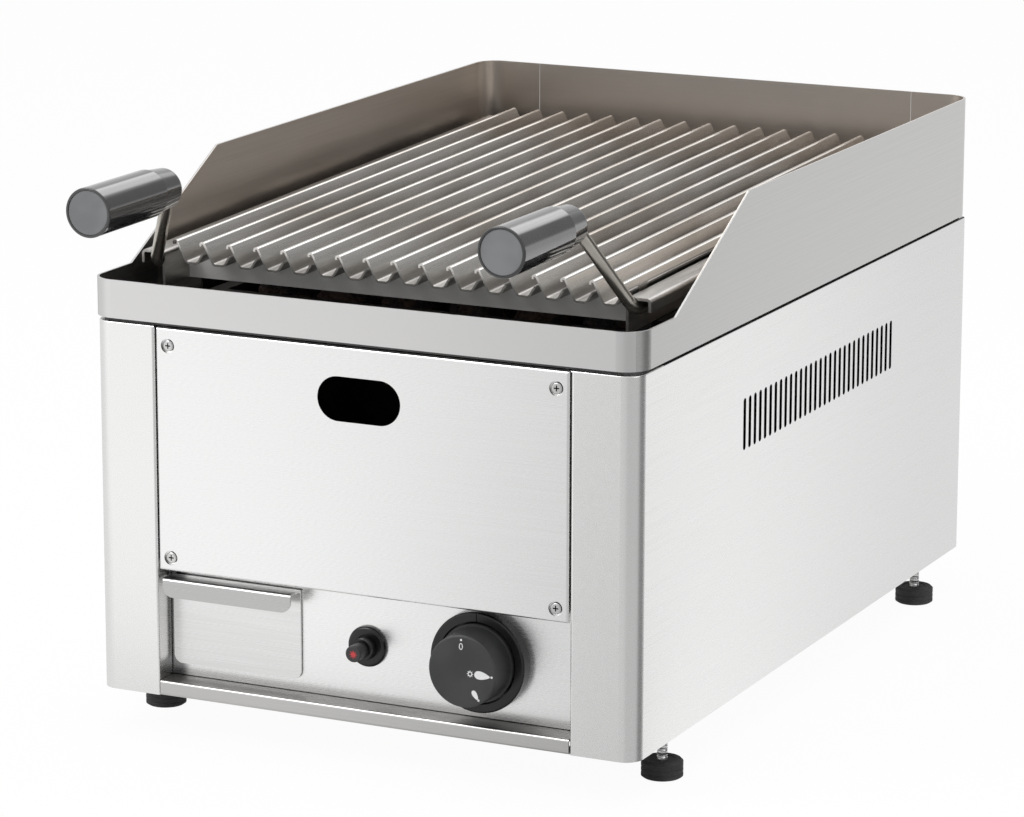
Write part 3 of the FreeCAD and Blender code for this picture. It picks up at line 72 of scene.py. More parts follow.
class Wire:
    def __init__(self, shade, socket):
        self.shade = shade
        self.socket = socket

    def maths(self, operation, *values):
        return self.shade.node("ShaderNodeMath", {"operation": operation}, dict(enumerate(values)))

    def __add__(self, other):
        return self.maths("ADD", self, other)

    def __radd__(self, other):
        return self.maths("ADD", other, self)

    def __sub__(self, other):
        return self.maths("SUBTRACT", self, other)

    def __rsub__(self, other):
        return self.maths("SUBTRACT", other, self)

    def __mul__(self, other):
        return self.maths("MULTIPLY", self, other)

    def __rmul__(self, other):
        return self.maths("MULTIPLY", other, self)

    def __truediv__(self, other):
        return self.maths("DIVIDE", self, other)

    def above(self, other):
        return self.maths("GREATER_THAN", self, other)

    def below(self, other):
        return self.maths("LESS_THAN", self, other)

    def atLeast(self, other):
        return self.maths("MAXIMUM", self, other)

    def size(self):
        return self.maths("ABSOLUTE", self)

    def ramp(self, low, high, start=0.0, end=1.0):
        settings = {"interpolation_type": "SMOOTHSTEP"}
        return self.shade.node("ShaderNodeMapRange", settings, {0: self, 1: low, 2: high, 3: start, 4: end})

    def fall(self, low, high):
        return self.ramp(low, high, 1.0, 0.0)


class Shade:
    prefix = "ShaderNode"

    def __init__(self, title, owner=None):
        self.material = owner or bpy.data.materials.new(title)
        self.material.use_nodes = True
        self.tree = self.material.node_tree
        self.tree.nodes.clear()

    def node(self, kind, settings=None, sockets=None, out=0):
        made = self.tree.nodes.new(kind if "Node" in kind else self.prefix + kind)
        for name, value in (settings or {}).items():
            setattr(made, name, value)
        for key, value in (sockets or {}).items():
            if isinstance(value, (list, tuple)) and value and isinstance(value[0], Wire):
                for wire in value:
                    self.tree.links.new(wire.socket, made.inputs[key])
            elif isinstance(value, Wire):
                self.tree.links.new(value.socket, made.inputs[key])
            else:
                made.inputs[key].default_value = value
        return Wire(self, made.outputs[out]) if len(made.outputs) else None

    def place(self, scale=(1.0, 1.0, 1.0)):
        spot = self.node("TexCoord", out="Object")
        return self.node("Mapping", {}, {"Vector": spot, "Scale": scale})

    def split(self, vector):
        parts = self.node("ShaderNodeSeparateXYZ", {}, {0: vector})
        return [Wire(self, parts.socket.node.outputs[i]) for i in range(3)]

    def axes(self, which="Object"):
        return self.split(self.node("TexCoord", out=which))

    def noise(self, vector, scale, detail=2.0, roughness=0.5):
        return self.node("TexNoise", {}, {"Vector": vector, "Scale": scale, "Detail": detail,
                                          "Roughness": roughness})

    def drawn(self, along, stretch, scale, detail=2.0, roughness=0.6):
        # noise pulled out into lines along one axis
        sizes = [stretch if i == along else 1.0 for i in range(3)]
        return self.noise(self.place(sizes), scale, detail, roughness)

    def blend(self, share, first, second):
        settings = {"data_type": "RGBA"}
        sockets = {0: share, 6: asColour(first), 7: asColour(second)}
        return self.node("Mix", settings, sockets, out=2)

    def bump(self, height, strength, distance):
        return self.node("Bump", {}, {"Height": height, "Strength": strength, "Distance": distance})

    def finish(self, sockets):
        shader = self.node("BsdfPrincipled", {}, sockets)
        self.node("OutputMaterial", {}, {"Surface": shader})
        return self.material


def asColour(value):
    return value if isinstance(value, Wire) else (*value, 1.0)


# Finishes, most with a look of their own: colours, shares, and lengths in metres.

steelLook = {"colour": (0.93, 0.928, 0.922), "dark": (0.89, 0.887, 0.881), "roughness": 0.26,
             "grain": 1500.0, "stretch": 0.008, "broadGrain": 260.0, "broadStretch": 0.02,
             "cloud": 5.0, "toneShares": (0.6, 0.25, 0.15), "contrast": (0.3, 0.7),
             "roughShifts": (0.14, 0.04), "heightShares": (0.8, 0.2), "scratch": 0.00003, "bump": 0.25,
             "drawnSheen": 0.35}
sideLook = {"sheet": 0.0016, "edge": 0.0001, "bendY": -0.19, "slotPaintedShade": (0.01, 0.01, 0.01),
            "fade": 0.55, "fadeY": (-0.20, 0.27), "farPaintedShade": (0.54, 0.54, 0.54)}
edgeLook = {"x": (-0.1195, -0.1125), "share": 0.75, "tone": (0.05, 0.05, 0.05)}
flapShadeLook = {"reach": 0.006, "share": 0.55, "tone": (0.30, 0.298, 0.29)}


def sideTone(shade, base):
    # the side sheets: painted shade, a little dimmer towards the back, and near-black painted shade on the
    # cut walls of the slots
    look = sideLook
    x, y = shade.axes()[:2]
    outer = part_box("side_panel_right")[1][0]
    # painted shade: the sheet dims towards the back
    fade = y.ramp(*look["fadeY"]) * look["fade"]
    # painted shade: the cut walls of the slots go near-black
    wall = x.size().below(outer - look["edge"]) * x.size().above(outer - look["sheet"])
    wall = wall * y.above(look["bendY"])
    return shade.blend(wall, shade.blend(fade, base, look["farPaintedShade"]), look["slotPaintedShade"])


def edgeTone(shade, base):
    # the recess beside the left pillar is in shade
    x = shade.axes()[0]
    return shade.blend(x.fall(*edgeLook["x"]) * edgeLook["share"], base, edgeLook["tone"])


def flapPaintedShade(shade, base):
    # painted shade: the folded pull of the drawer looks down, so it is painted dimmer than its sheet
    y = shade.axes()[1]
    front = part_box("drawer_front")[0][1]
    return shade.blend(y.below(front + flapShadeLook["reach"]) * flapShadeLook["share"], base, flapShadeLook["tone"])


def brushedSteel(title, along, colour=None, dark=None, roughness=None, depth=0.6, toned=None):
    # fine drawn lines along one axis, and a few longer and fainter ones over them
    look = steelLook
    shade = Shade(title)
    lines = shade.drawn(along, look["stretch"], look["grain"])
    broad = shade.drawn(along, look["broadStretch"], look["broadGrain"], 2.0, 0.5)
    cloud = shade.noise(shade.place(), look["cloud"], 1.0)
    fineShare, broadShare, cloudShare = look["toneShares"]
    tone = lines * fineShare + broad * broadShare + cloud * cloudShare
    base = shade.blend(tone.ramp(*look["contrast"]), dark or look["dark"], colour or look["colour"])
    if toned:
        base = toned(shade, base)
    fineShift, broadShift = look["roughShifts"]
    rough = (roughness or look["roughness"]) + (lines - 0.5) * fineShift + (broad - 0.5) * broadShift
    fineHeight, broadHeight = look["heightShares"]
    height = shade.bump(lines * fineHeight + broad * broadHeight, look["bump"] * depth, look["scratch"])
    return shade.finish({"Base Color": base, "Metallic": 1.0, "Roughness": rough, "Normal": height,
                         "Anisotropic": look["drawnSheen"]})


guardLook = {"outside": ((0.63, 0.627, 0.62), (0.58, 0.577, 0.57)),
             "inside": ((0.93, 0.89, 0.845), (0.85, 0.81, 0.77)), "innerFrom": -0.15,
             "bend": 0.014, "bendInner": 0.0133, "grain": 1300.0, "stretch": 0.008,
             "frontPaintedLight": (0.76, 0.757, 0.75), "frontY": -0.2205, "frontShare": 0.85,
             "backTone": (0.36, 0.335, 0.31), "backY": (0.262, 0.266), "backShare": 0.75,
             "singed": (0.66, 0.57, 0.49), "singedShare": 0.55, "barLevel": 0.268, "wallTop": 0.33,
             "wander": 0.05, "roughness": 0.31, "roughShift": 0.12, "insideRough": 0.05, "bump": 0.22,
             "drawnSheen": 0.3}


def guardSteel():
    # splash guard: outside and inside in tones of their own. Outside, the front face is painted lighter than
    # the sides as painted light; inside, a straw heat tint that darkens towards the bars, painted brighter
    # than the outside as painted light against the shade within, and darker on the back wall.
    look = guardLook
    shade = Shade("guardSteel")
    x, y, z = shade.axes()
    # distance out from the bend's axis, so that the rear bends keep their outside bright
    bendX, bendY = (side - look["bend"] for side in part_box("splash_guard")[1][:2])
    overX, overY = (x.size() - bendX).atLeast(0.0), (y - bendY).atLeast(0.0)
    over = shade.node("Math", {"operation": "SQRT"}, {0: overX * overX + overY * overY})
    inner = over.below(look["bendInner"]) * y.above(look["innerFrom"])
    back = y.ramp(*look["backY"])
    lines = shade.drawn(1, look["stretch"], look["grain"])
    cross = shade.drawn(0, look["stretch"], look["grain"])
    grain = lines * (1.0 - back) + cross * back
    cloud = shade.drawn(1, 0.4, 16.0, 3.0, 0.55)
    # inside colours: straw heat tint, painted brighter than the outside as painted light against the shade
    # inside
    outside, inside = (shade.blend(grain.ramp(*steelLook["contrast"]), look[face][1], look[face][0])
                       for face in ("outside", "inside"))
    # painted light: the outside front face lighter than the sides
    outside = shade.blend(y.below(look["frontY"]) * look["frontShare"], outside, look["frontPaintedLight"])
    inside = shade.blend(back * look["backShare"], inside, look["backTone"])
    level = z + (cloud - 0.5) * look["wander"]
    heat = level.ramp(look["barLevel"], look["wallTop"], look["singedShare"], 0.0)
    inside = shade.blend(heat, inside, look["singed"])
    rough = look["roughness"] + (grain - 0.5) * look["roughShift"] + inner * look["insideRough"]
    return shade.finish({"Base Color": shade.blend(inner, outside, inside), "Metallic": 1.0,
                         "Roughness": rough, "Normal": shade.bump(grain, look["bump"], steelLook["scratch"]),
                         "Anisotropic": look["drawnSheen"]})


lipLook = {"front": ((0.62, 0.615, 0.605), (0.52, 0.515, 0.505)), "worn": 0.25, "grain": 1300.0,
           "stretch": 0.008, "shelf": (0.20, 0.195, 0.19), "shelfZ": 0.0317, "faceY": -0.2222,
           "roughness": 0.32, "roughShift": 0.12, "shelfRough": 0.15}


def lipSteel():
    # base sheet: its shelf behind the lip is dull and shaded, the rest plain
    look = lipLook
    shade = Shade("lipSteel")
    y, z = shade.axes()[1:]
    lines = shade.drawn(0, look["stretch"], look["grain"])
    shelf = z.above(look["shelfZ"]) * y.above(look["faceY"])
    front = shade.blend(lines.ramp(*steelLook["contrast"]) * look["worn"], *look["front"])
    rough = look["roughness"] + (lines - 0.5) * look["roughShift"] + shelf * look["shelfRough"]
    height = shade.bump(lines, steelLook["bump"], steelLook["scratch"])
    return shade.finish({"Base Color": shade.blend(shelf, front, look["shelf"]), "Metallic": 1.0,
                         "Roughness": rough, "Normal": height})


agedLook = {"mottle": 14.0, "grain": 600.0, "shares": (0.8, 0.2), "contrast": (0.35, 0.65),
            "roughShift": 0.2, "bump": 0.15, "relief": 0.00004}


def agedSteel(title, colour, dark, roughness, metallic=1.0):
    # plain folded sheet inside the casing, dull and slightly mottled
    look = agedLook
    shade = Shade(title)
    cloud = shade.noise(shade.place(), look["mottle"], 4.0, 0.6)
    grain = shade.noise(shade.place(), look["grain"], 2.0)
    cloudShare, grainShare = look["shares"]
    tone = cloud * cloudShare + grain * grainShare
    base = shade.blend(tone.ramp(*look["contrast"]), dark, colour)
    rough = roughness + (cloud - 0.5) * look["roughShift"]
    height = shade.bump(grain, look["bump"], look["relief"])
    return shade.finish({"Base Color": base, "Metallic": metallic, "Roughness": rough, "Normal": height})


barLook = {"colour": ((0.78, 0.76, 0.73), (0.57, 0.555, 0.53)), "worn": 0.3,
           "straw": (0.36, 0.305, 0.25), "strawFrom": (0.01, 0.12), "sootAndShade": (0.07, 0.058, 0.048),
           "sootFrom": (0.0, 0.2), "frontY": -0.18175, "rise": 0.02095, "gutterZ": 0.2632,
           "wallZ": 0.2725, "lines": (0.006, 1100.0), "clouds": (0.3, 20.0), "blotches": (0.16, 75.0),
           "cloudy": (0.35, 0.7), "blotchy": (0.36, 0.62), "strawShares": (0.25, 0.55),
           "sootShares": (0.55, 0.3), "sootPatches": (0.6, 0.55), "roughness": 0.22,
           "roughShifts": (0.1, 0.06), "sootRough": 0.3, "lineHeight": 0.3, "bump": 0.25,
           "relief": 0.00006, "drawnSheen": 0.2}


def grillBarSteel():
    # rolled bars: smooth, with a straw heat tint towards the fire that is deepened towards the back as
    # painted shade, and charred fat in the gutters, where the darkening is partly painted shade
    look = barLook
    shade = Shade("grillBarSteel")
    y, z = shade.axes()[1:]
    behind = y - look["frontY"]
    level = z - behind * look["rise"]
    lines = shade.drawn(1, *look["lines"], 2.0, 0.55)
    cloud = shade.drawn(1, *look["clouds"], 3.0, 0.6)
    blotch = shade.drawn(1, *look["blotches"], 4.0, 0.62)
    least, more = look["strawShares"]
    # straw tint growing towards the back: partly real heat tint, partly painted shade
    heat = behind.ramp(*look["strawFrom"]) * (least + cloud.ramp(*look["cloudy"]) * more)
    base = shade.blend(lines.ramp(*steelLook["contrast"]) * look["worn"], *look["colour"])
    base = shade.blend(heat, base, look["straw"])
    least, more = look["sootShares"]
    sootAndShade = least + behind.ramp(*look["sootFrom"]) * more
    least, more = look["sootPatches"]
    patches = least + blotch.ramp(*look["blotchy"]) * more
    # dark gutters: partly real charred fat, partly painted shade in the gutters
    burntAndShaded = level.fall(look["gutterZ"], look["wallZ"]) * sootAndShade * patches
    base = shade.blend(burntAndShaded, base, look["sootAndShade"])
    lineShift, cloudShift = look["roughShifts"]
    rough = look["roughness"] + (lines - 0.5) * lineShift + (cloud - 0.5) * cloudShift
    rough = rough + burntAndShaded * look["sootRough"]
    height = shade.bump(lines * look["lineHeight"] + blotch * burntAndShaded, look["bump"], look["relief"])
    return shade.finish({"Base Color": base, "Metallic": 1.0, "Roughness": rough, "Normal": height,
                         "Anisotropic": look["drawnSheen"]})


metalLook = {"cloud": 70.0, "fine": 900.0, "contrast": (0.35, 0.7), "roughShift": 0.18, "bump": 0.15}


def bareMetal(title, colour, tint, roughness):
    # turned or drawn metal with a slightly uneven tint
    look = metalLook
    shade = Shade(title)
    cloud = shade.noise(shade.place(), look["cloud"], 3.0)
    fine = shade.noise(shade.place(), look["fine"], 1.0)
    base = shade.blend(cloud.ramp(*look["contrast"]), colour, tint)
    rough = roughness + (cloud - 0.5) * look["roughShift"]
    return shade.finish({"Base Color": base, "Metallic": 1.0, "Roughness": rough,
                         "Normal": shade.bump(fine, look["bump"], steelLook["scratch"])})


crossHead = {"colour": (0.66, 0.66, 0.655), "recess": (0.012, 0.012, 0.012), "depth": 0.0005,
             "cloud": 70.0, "roughness": 0.26, "roughShift": 0.15}


def crossHeadSteel():
    # bright head faces, with the cross and the rim of each head in shade
    look = crossHead
    shade = Shade("crossHead")
    y = shade.axes()[1]
    cloud = shade.noise(shade.place(), look["cloud"], 3.0)
    deep = y.above(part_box("front_panel_screws")[0][1] + look["depth"])
    return shade.finish({"Base Color": shade.blend(deep, look["colour"], look["recess"]), "Metallic": 1.0,
                         "Roughness": look["roughness"] + (cloud - 0.5) * look["roughShift"]})


plasticLook = {"cloud": 40.0, "contrast": (0.35, 0.65), "share": 0.6, "lighter": 1.35, "lift": 0.01,
               "cloudShift": 0.12, "grainShift": 0.08, "bump": 0.3}


def mouldedPlastic(title, colour, roughness, grain, depth, coat=0.0):
    # fine spark-eroded texture with slight shifts in gloss
    look = plasticLook
    shade = Shade(title)
    fine = shade.noise(shade.place(), grain, 2.0, 0.6)
    cloud = shade.noise(shade.place(), look["cloud"], 2.0)
    lighter = tuple(min(1.0, c * look["lighter"] + look["lift"]) for c in colour)
    base = shade.blend(cloud.ramp(*look["contrast"]) * look["share"], colour, lighter)
    rough = roughness + (cloud - 0.5) * look["cloudShift"] + (fine - 0.5) * look["grainShift"]
    return shade.finish({"Base Color": base, "Roughness": rough, "Coat Weight": coat,
                         "Normal": shade.bump(fine, look["bump"], depth)})


rockLook = {"dark": (0.030, 0.027, 0.026), "rust": (0.085, 0.055, 0.043), "pitShade": (0.015, 0.012, 0.011),
            "pitScale": 420.0, "holeScale": 170.0, "cloud": 60.0, "rusty": (0.4, 0.62),
            "pits": (0.1, 0.5), "holes": (0.1, 0.45), "depths": (0.5, 0.7), "pitEdge": (0.0, 0.5),
            "cloudHeight": 0.6, "bump": 0.9, "relief": 0.0015, "roughness": 0.93}


def lavaRock():
    # porous dark rock: rusty tints, pits of two sizes painted darker as painted shade
    look = rockLook
    shade = Shade("lavaRock")
    spot = shade.place()
    pits, holes = (shade.node("TexVoronoi", {}, {"Vector": spot, "Scale": look[size]})
                   for size in ("pitScale", "holeScale"))
    cloud = shade.noise(spot, look["cloud"], 5.0, 0.65)
    base = shade.blend(cloud.ramp(*look["rusty"]), look["dark"], look["rust"])
    pitDepth, holeDepth = look["depths"]
    surface = pits.ramp(*look["pits"]) * pitDepth + holes.ramp(*look["holes"]) * holeDepth
    # painted shade: darker colour in the pits and holes
    base = shade.blend(surface.ramp(*look["pitEdge"]), look["pitShade"], base)
    height = shade.bump(surface + cloud * look["cloudHeight"], look["bump"], look["relief"])
    return shade.finish({"Base Color": base, "Roughness": look["roughness"], "Normal": height})


rubberLook = {"dusty": (0.10, 0.10, 0.098), "dust": 45.0, "dustFrom": (0.5, 0.8), "dustShare": 0.35,
              "grain": 500.0, "roughness": 0.72, "roughShift": 0.2, "bump": 0.35, "relief": 0.0002}


def softRubber(title, colour):
    # dull rubber with a little pale dust
    look = rubberLook
    shade = Shade(title)
    fine = shade.noise(shade.place(), look["grain"], 3.0)
    dust = shade.noise(shade.place(), look["dust"], 4.0).ramp(*look["dustFrom"])
    base = shade.blend(dust * look["dustShare"], colour, look["dusty"])
    rough = look["roughness"] + (fine - 0.5) * look["roughShift"]
    return shade.finish({"Base Color": base, "Roughness": rough,
                         "Normal": shade.bump(fine, look["bump"], look["relief"])})


markLook = {"grain": 2600.0, "contrast": (0.3, 0.6), "thin": 0.86, "roughness": 0.42, "roughShift": 0.2}


def enamelMark(title, colour):
    # printed mark with a slightly uneven tone
    look = markLook
    shade = Shade(title)
    grain = shade.noise(shade.place(), look["grain"], 2.0)
    base = shade.blend(grain.ramp(*look["contrast"]), tuple(c * look["thin"] for c in colour), colour)
    rough = look["roughness"] + (grain - 0.5) * look["roughShift"]
    return shade.finish({"Base Color": base, "Roughness": rough})


glazeLook = {"cloud": 90.0, "cloudy": (0.4, 0.7), "colours": ((0.86, 0.85, 0.81), (0.74, 0.72, 0.67)),
             "roughness": 0.22, "roughShift": 0.1}


def glazedCeramic():
    # off-white glaze with faint clouds
    look = glazeLook
    shade = Shade("glazedCeramic")
    cloud = shade.noise(shade.place(), look["cloud"], 2.0)
    base = shade.blend(cloud.ramp(*look["cloudy"]), *look["colours"])
    return shade.finish({"Base Color": base, "Roughness": look["roughness"] + cloud * look["roughShift"]})


finishes = {
    "steelAcross": brushedSteel("steelAcross", 0),
    "sideSheet": brushedSteel("sideSheet", 1, depth=0.3, toned=sideTone),
    "frontSheet": brushedSteel("frontSheet", 0, (0.96, 0.96, 0.955), (0.93, 0.93, 0.925), 0.27),
    "controlSheet": brushedSteel("controlSheet", 0, (0.98, 0.98, 0.975), (0.94, 0.94, 0.935), 0.27, 0.8,
                                 edgeTone),
    "drawerSheet": brushedSteel("drawerSheet", 0, (0.88, 0.88, 0.875), (0.79, 0.785, 0.78), 0.26, 1.4,
                                flapPaintedShade),
    # painted light: the cross plates get a near-white, weakly metallic colour that keeps them light in the
    # shade of the bars and collar
    "plateSteelPaintedLight": agedSteel("plateSteelPaintedLight", (0.93, 0.92, 0.90), (0.84, 0.83, 0.81), 0.42, metallic=0.2),
    "lipSteel": lipSteel(),
    "guardSheet": guardSteel(),
    "innerSheet": agedSteel("innerSheet", (0.58, 0.575, 0.565), (0.44, 0.435, 0.43), 0.45),
    "fireSheet": agedSteel("fireSheet", (0.11, 0.105, 0.10), (0.055, 0.05, 0.048), 0.6),
    # painted shade: deck, trough and grate supports near-black, standing in for the shade under the grate
    "deckShadeBlack": agedSteel("deckShadeBlack", (0.055, 0.052, 0.050), (0.022, 0.021, 0.020), 0.5),
    "bars": grillBarSteel(),
    "rodSteel": bareMetal("rodSteel", (0.62, 0.59, 0.535), (0.50, 0.47, 0.42), 0.3),
    "zinc": bareMetal("zinc", (0.72, 0.72, 0.72), (0.58, 0.58, 0.57), 0.32),
    "crossHead": crossHeadSteel(),
    "screwSteel": bareMetal("screwSteel", (0.40, 0.40, 0.395), (0.20, 0.20, 0.196), 0.2),
    "springSteel": bareMetal("springSteel", (0.55, 0.55, 0.55), (0.4, 0.4, 0.4), 0.3),
    "brass": bareMetal("brass", (0.78, 0.60, 0.30), (0.62, 0.46, 0.22), 0.3),
    "copper": bareMetal("copper", (0.76, 0.43, 0.29), (0.55, 0.29, 0.19), 0.3),
    "lava": lavaRock(),
    "gasket": softRubber("gasket", (0.16, 0.16, 0.158)),
    "footRubber": softRubber("footRubber", (0.018, 0.018, 0.018)),
    "leadSleeve": softRubber("leadSleeve", (0.03, 0.03, 0.03)),
    "glossBlack": mouldedPlastic("glossBlack", (0.004, 0.004, 0.004), 0.24, 900.0, 0.00003),
    "gripBlack": mouldedPlastic("gripBlack", (0.018, 0.018, 0.019), 0.12, 700.0, 0.00001, 1.0),
    "knobGrey": mouldedPlastic("knobGrey", (0.030, 0.030, 0.031), 0.46, 1500.0, 0.00006),
    "buttonGrey": mouldedPlastic("buttonGrey", (0.030, 0.030, 0.031), 0.4, 1500.0, 0.00004),
    "capGrey": mouldedPlastic("capGrey", (0.170, 0.174, 0.178), 0.45, 1200.0, 0.00004),
    "markWhite": enamelMark("markWhite", (0.82, 0.82, 0.82)),
    "markRed": enamelMark("markRed", (0.55, 0.045, 0.05)),
    "ceramic": glazedCeramic(),
}

nodeFinish = {
    "side_panel_left": "sideSheet", "side_panel_right": "sideSheet", "rear_panel": "steelAcross",
    "base_plate": "lipSteel", "front_panel": "frontSheet", "front_panel_rails": "innerSheet",
    "front_panel_screws": "crossHead", "rear_panel_screws": "screwSteel", "control_panel": "controlSheet",
    "deck_gasket": "gasket", "deck_plate": "deckShadeBlack", "splash_guard": "guardSheet",
    "splash_guard_back": "guardSheet", "grease_trough": "deckShadeBlack", "drain_chute": "innerSheet",
    "firebox": "fireSheet", "stone_grate_ledges": "fireSheet", "stone_grate": "fireSheet",
    "lava_stones": "lava", "heat_shield": "fireSheet", "burner": "innerSheet", "venturi": "innerSheet",
    "injector": "brass", "feed_pipe": "copper", "gas_valve": "brass", "gas_pipe": "copper",
    "gas_inlet": "brass", "inlet_locknut": "brass", "thermocouple": "copper",
    "thermocouple_lead": "copper", "ignition_electrode": "ceramic", "ignition_lead": "leadSleeve",
    "piezo_igniter": "glossBlack", "igniter_bezel": "glossBlack", "igniter_nut": "zinc",
    "igniter_button": "buttonGrey", "igniter_spring": "springSteel", "knob_bezel": "glossBlack",
    "knob": "knobGrey", "valve_spindle": "brass", "valve_pushrod": "brass", "valve_spring": "springSteel",
    "drawer_front": "drawerSheet", "drawer_tray": "innerSheet", "drawer_runners": "innerSheet",
    "grate_bars": "bars", "grate_side_left": "bars", "grate_side_right": "bars",
    "grate_cross_plates": "plateSteelPaintedLight", "grate_supports": "deckShadeBlack", "handle_rod_left": "rodSteel",
    "handle_rod_right": "rodSteel", "grip_left": "gripBlack", "grip_right": "gripBlack",
    "grip_caps": "capGrey", "foot_nuts": "zinc", "foot_front_left": "footRubber",
    "foot_front_right": "footRubber", "foot_rear_left": "footRubber", "foot_rear_right": "footRubber",
}

for name, node in nodes.items():
    node.data.materials.clear()
    node.data.materials.append(finishes[nodeFinish[name]])
print("finishes on", len(nodeFinish), "nodes")


# What repeats: geometry node trees, each evaluated once into a plain mesh.

class Grow(Shade):
    prefix = "GeometryNode"

    def __init__(self, title, **sizes):
        self.title = title
        self.tree = bpy.data.node_groups.new(title, "GeometryNodeTree")
        self.given = {}
        for name, value in sizes.items():
            kind = "NodeSocketInt" if isinstance(value, int) else "NodeSocketFloat"
            socket = self.tree.interface.new_socket(name, in_out="INPUT", socket_type=kind)
            self.given[name] = (socket.identifier, value)
        self.tree.interface.new_socket("Geometry", in_out="OUTPUT", socket_type="NodeSocketGeometry")
        self.start = self.tree.nodes.new("NodeGroupInput")

    def size(self, name):
        return Wire(self, self.start.outputs[name])

    def join(self, *shapes):
        return self.node("JoinGeometry", {}, {0: list(shapes)})

    def coated(self, shape, finish):
        loose = self.node("RealizeInstances", {}, {"Geometry": shape})
        return self.node("SetMaterial", {}, {"Geometry": loose, "Material": finish})

    def piece(self, shape):
        self.node("NodeGroupOutput", {}, {0: shape})
        source = bpy.data.objects.new(self.title + "Source", bpy.data.meshes.new(self.title + "Source"))
        bpy.context.scene.collection.objects.link(source)
        modifier = source.modifiers.new(self.title, "NODES")
        modifier.node_group = self.tree
        for identifier, value in self.given.values():
            modifier[identifier] = value
        ready = source.evaluated_get(bpy.context.evaluated_depsgraph_get())
        mesh = bpy.data.meshes.new_from_object(ready)
        source.modifiers.clear()
        bpy.data.objects.remove(source)
        mesh.name = self.title
        return shown(self.title, mesh)


def shown(title, mesh):
    made = bpy.data.objects.new(title, mesh)
    bpy.context.scene.collection.objects.link(made)
    return made


stoneBed = {"columns": 6, "rows": 9, "pitch": 0.0402, "radius": 0.0182, "seat": 0.2141, "middleY": 0.04225,
            "lumps": 0.0062, "lumpNoise": (75.0, 1.5), "pits": 0.0016, "pitNoise": (430.0, 3.0),
            "even": 0.58, "sink": 0.93, "turns": ((0.0, 0.0, 0.0), (6.28, 6.28, 6.28)),
            "stretch": ((0.86, 0.86, 0.84), (1.03, 1.03, 1.0)), "smoothness": 5, "seed": 7}


def makeStones():
    # rough lumps on a grid, each turned and stretched its own way, flat where they rest on the rack
    look = stoneBed
    grow = Grow("lavaStones", Pitch=look["pitch"], Columns=look["columns"], Rows=look["rows"],
                Radius=look["radius"], Lumps=look["lumps"], Pits=look["pits"], Seat=look["seat"],
                Seed=look["seed"])
    pitch, radius = grow.size("Pitch"), grow.size("Radius")
    wide, deep = pitch * (look["columns"] - 1), pitch * (look["rows"] - 1)
    grid = grow.node("MeshGrid", {}, {"Size X": wide, "Size Y": deep, "Vertices X": grow.size("Columns"),
                                      "Vertices Y": grow.size("Rows")})
    middle = {0: 0.0, 1: look["middleY"], 2: grow.size("Seat") + radius * look["sink"]}
    centre = grow.node("ShaderNodeCombineXYZ", {}, middle)
    grid = grow.node("Transform", {}, {"Geometry": grid, "Translation": centre})
    lump = grow.node("MeshIcoSphere", {}, {"Radius": radius, "Subdivisions": look["smoothness"]})
    turn, stretch = (grow.node("FunctionNodeRandomValue", {"data_type": "FLOAT_VECTOR"},
                               {0: least, 1: most, "Seed": grow.size("Seed")})
                     for least, most in (look["turns"], look["stretch"]))
    bed = grow.node("InstanceOnPoints", {}, {"Points": grid, "Instance": lump, "Rotation": turn,
                                             "Scale": stretch})
    bed = grow.node("RealizeInstances", {}, {"Geometry": bed})
    spot, facing = grow.node("InputPosition"), grow.node("InputNormal")
    for (scale, detail), name in ((look["lumpNoise"], "Lumps"), (look["pitNoise"], "Pits")):
        wave = grow.node("ShaderNodeTexNoise", {}, {"Vector": spot, "Scale": scale, "Detail": detail})
        push = grow.node("ShaderNodeVectorMath", {"operation": "SCALE"},
                         {0: facing, "Scale": (wave - look["even"]) * grow.size(name) * 2.0})
        bed = grow.node("SetPosition", {}, {"Geometry": bed, "Offset": push})
    x, y, z = grow.split(spot)
    flat = grow.node("ShaderNodeCombineXYZ", {}, {0: x, 1: y, 2: z.atLeast(grow.size("Seat"))})
    bed = grow.node("SetPosition", {}, {"Geometry": bed, "Position": flat})
    bed = grow.node("SetShadeSmooth", {}, {"Geometry": bed, "Shade Smooth": True})
    stones = grow.piece(grow.coated(bed, finishes["lava"]))
    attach(stones, "casing")
    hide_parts("lava_stones")


def threadOn(grow, steps):
    # one helical ridge of diamond section, standing up from the origin
    depth, length = grow.size("Depth"), grow.size("Length")
    root = grow.size("Radius") - depth
    spiral = grow.node("CurveSpiral", {}, {"Resolution": steps, "Rotations": length / grow.size("Pitch"),
                                           "Start Radius": root, "End Radius": root, "Height": length,
                                           "Reverse": False})
    profile = grow.node("CurvePrimitiveCircle", {}, {"Resolution": 4, "Radius": depth})
    return grow.node("CurveToMesh", {}, {"Curve": spiral, "Profile Curve": profile, "Fill Caps": True})


def lathed(title, profile, centre, steps=64):
    # closed turned shape: radius and height pairs from the axis round to the axis again
    form = bmesh.new()
    rings = []
    for radius, height in profile:
        if radius == 0.0:
            rings.append([form.verts.new((centre[0], centre[1], height))])
        else:
            rings.append([form.verts.new((centre[0] + radius * math.cos(2 * math.pi * i / steps),
                                          centre[1] + radius * math.sin(2 * math.pi * i / steps), height))
                          for i in range(steps)])
    for low, high in zip(rings, rings[1:]):
        for i in range(steps):
            j = (i + 1) % steps
            corners = [low[i % len(low)], low[j % len(low)], high[j % len(high)], high[i % len(high)]]
            corners = [v for n, v in enumerate(corners) if v not in corners[:n]]
            form.faces.new(corners)
    bmesh.ops.recalc_face_normals(form, faces=form.faces)
    mesh = bpy.data.meshes.new(title)
    form.to_mesh(mesh)
    form.free()
    return mesh


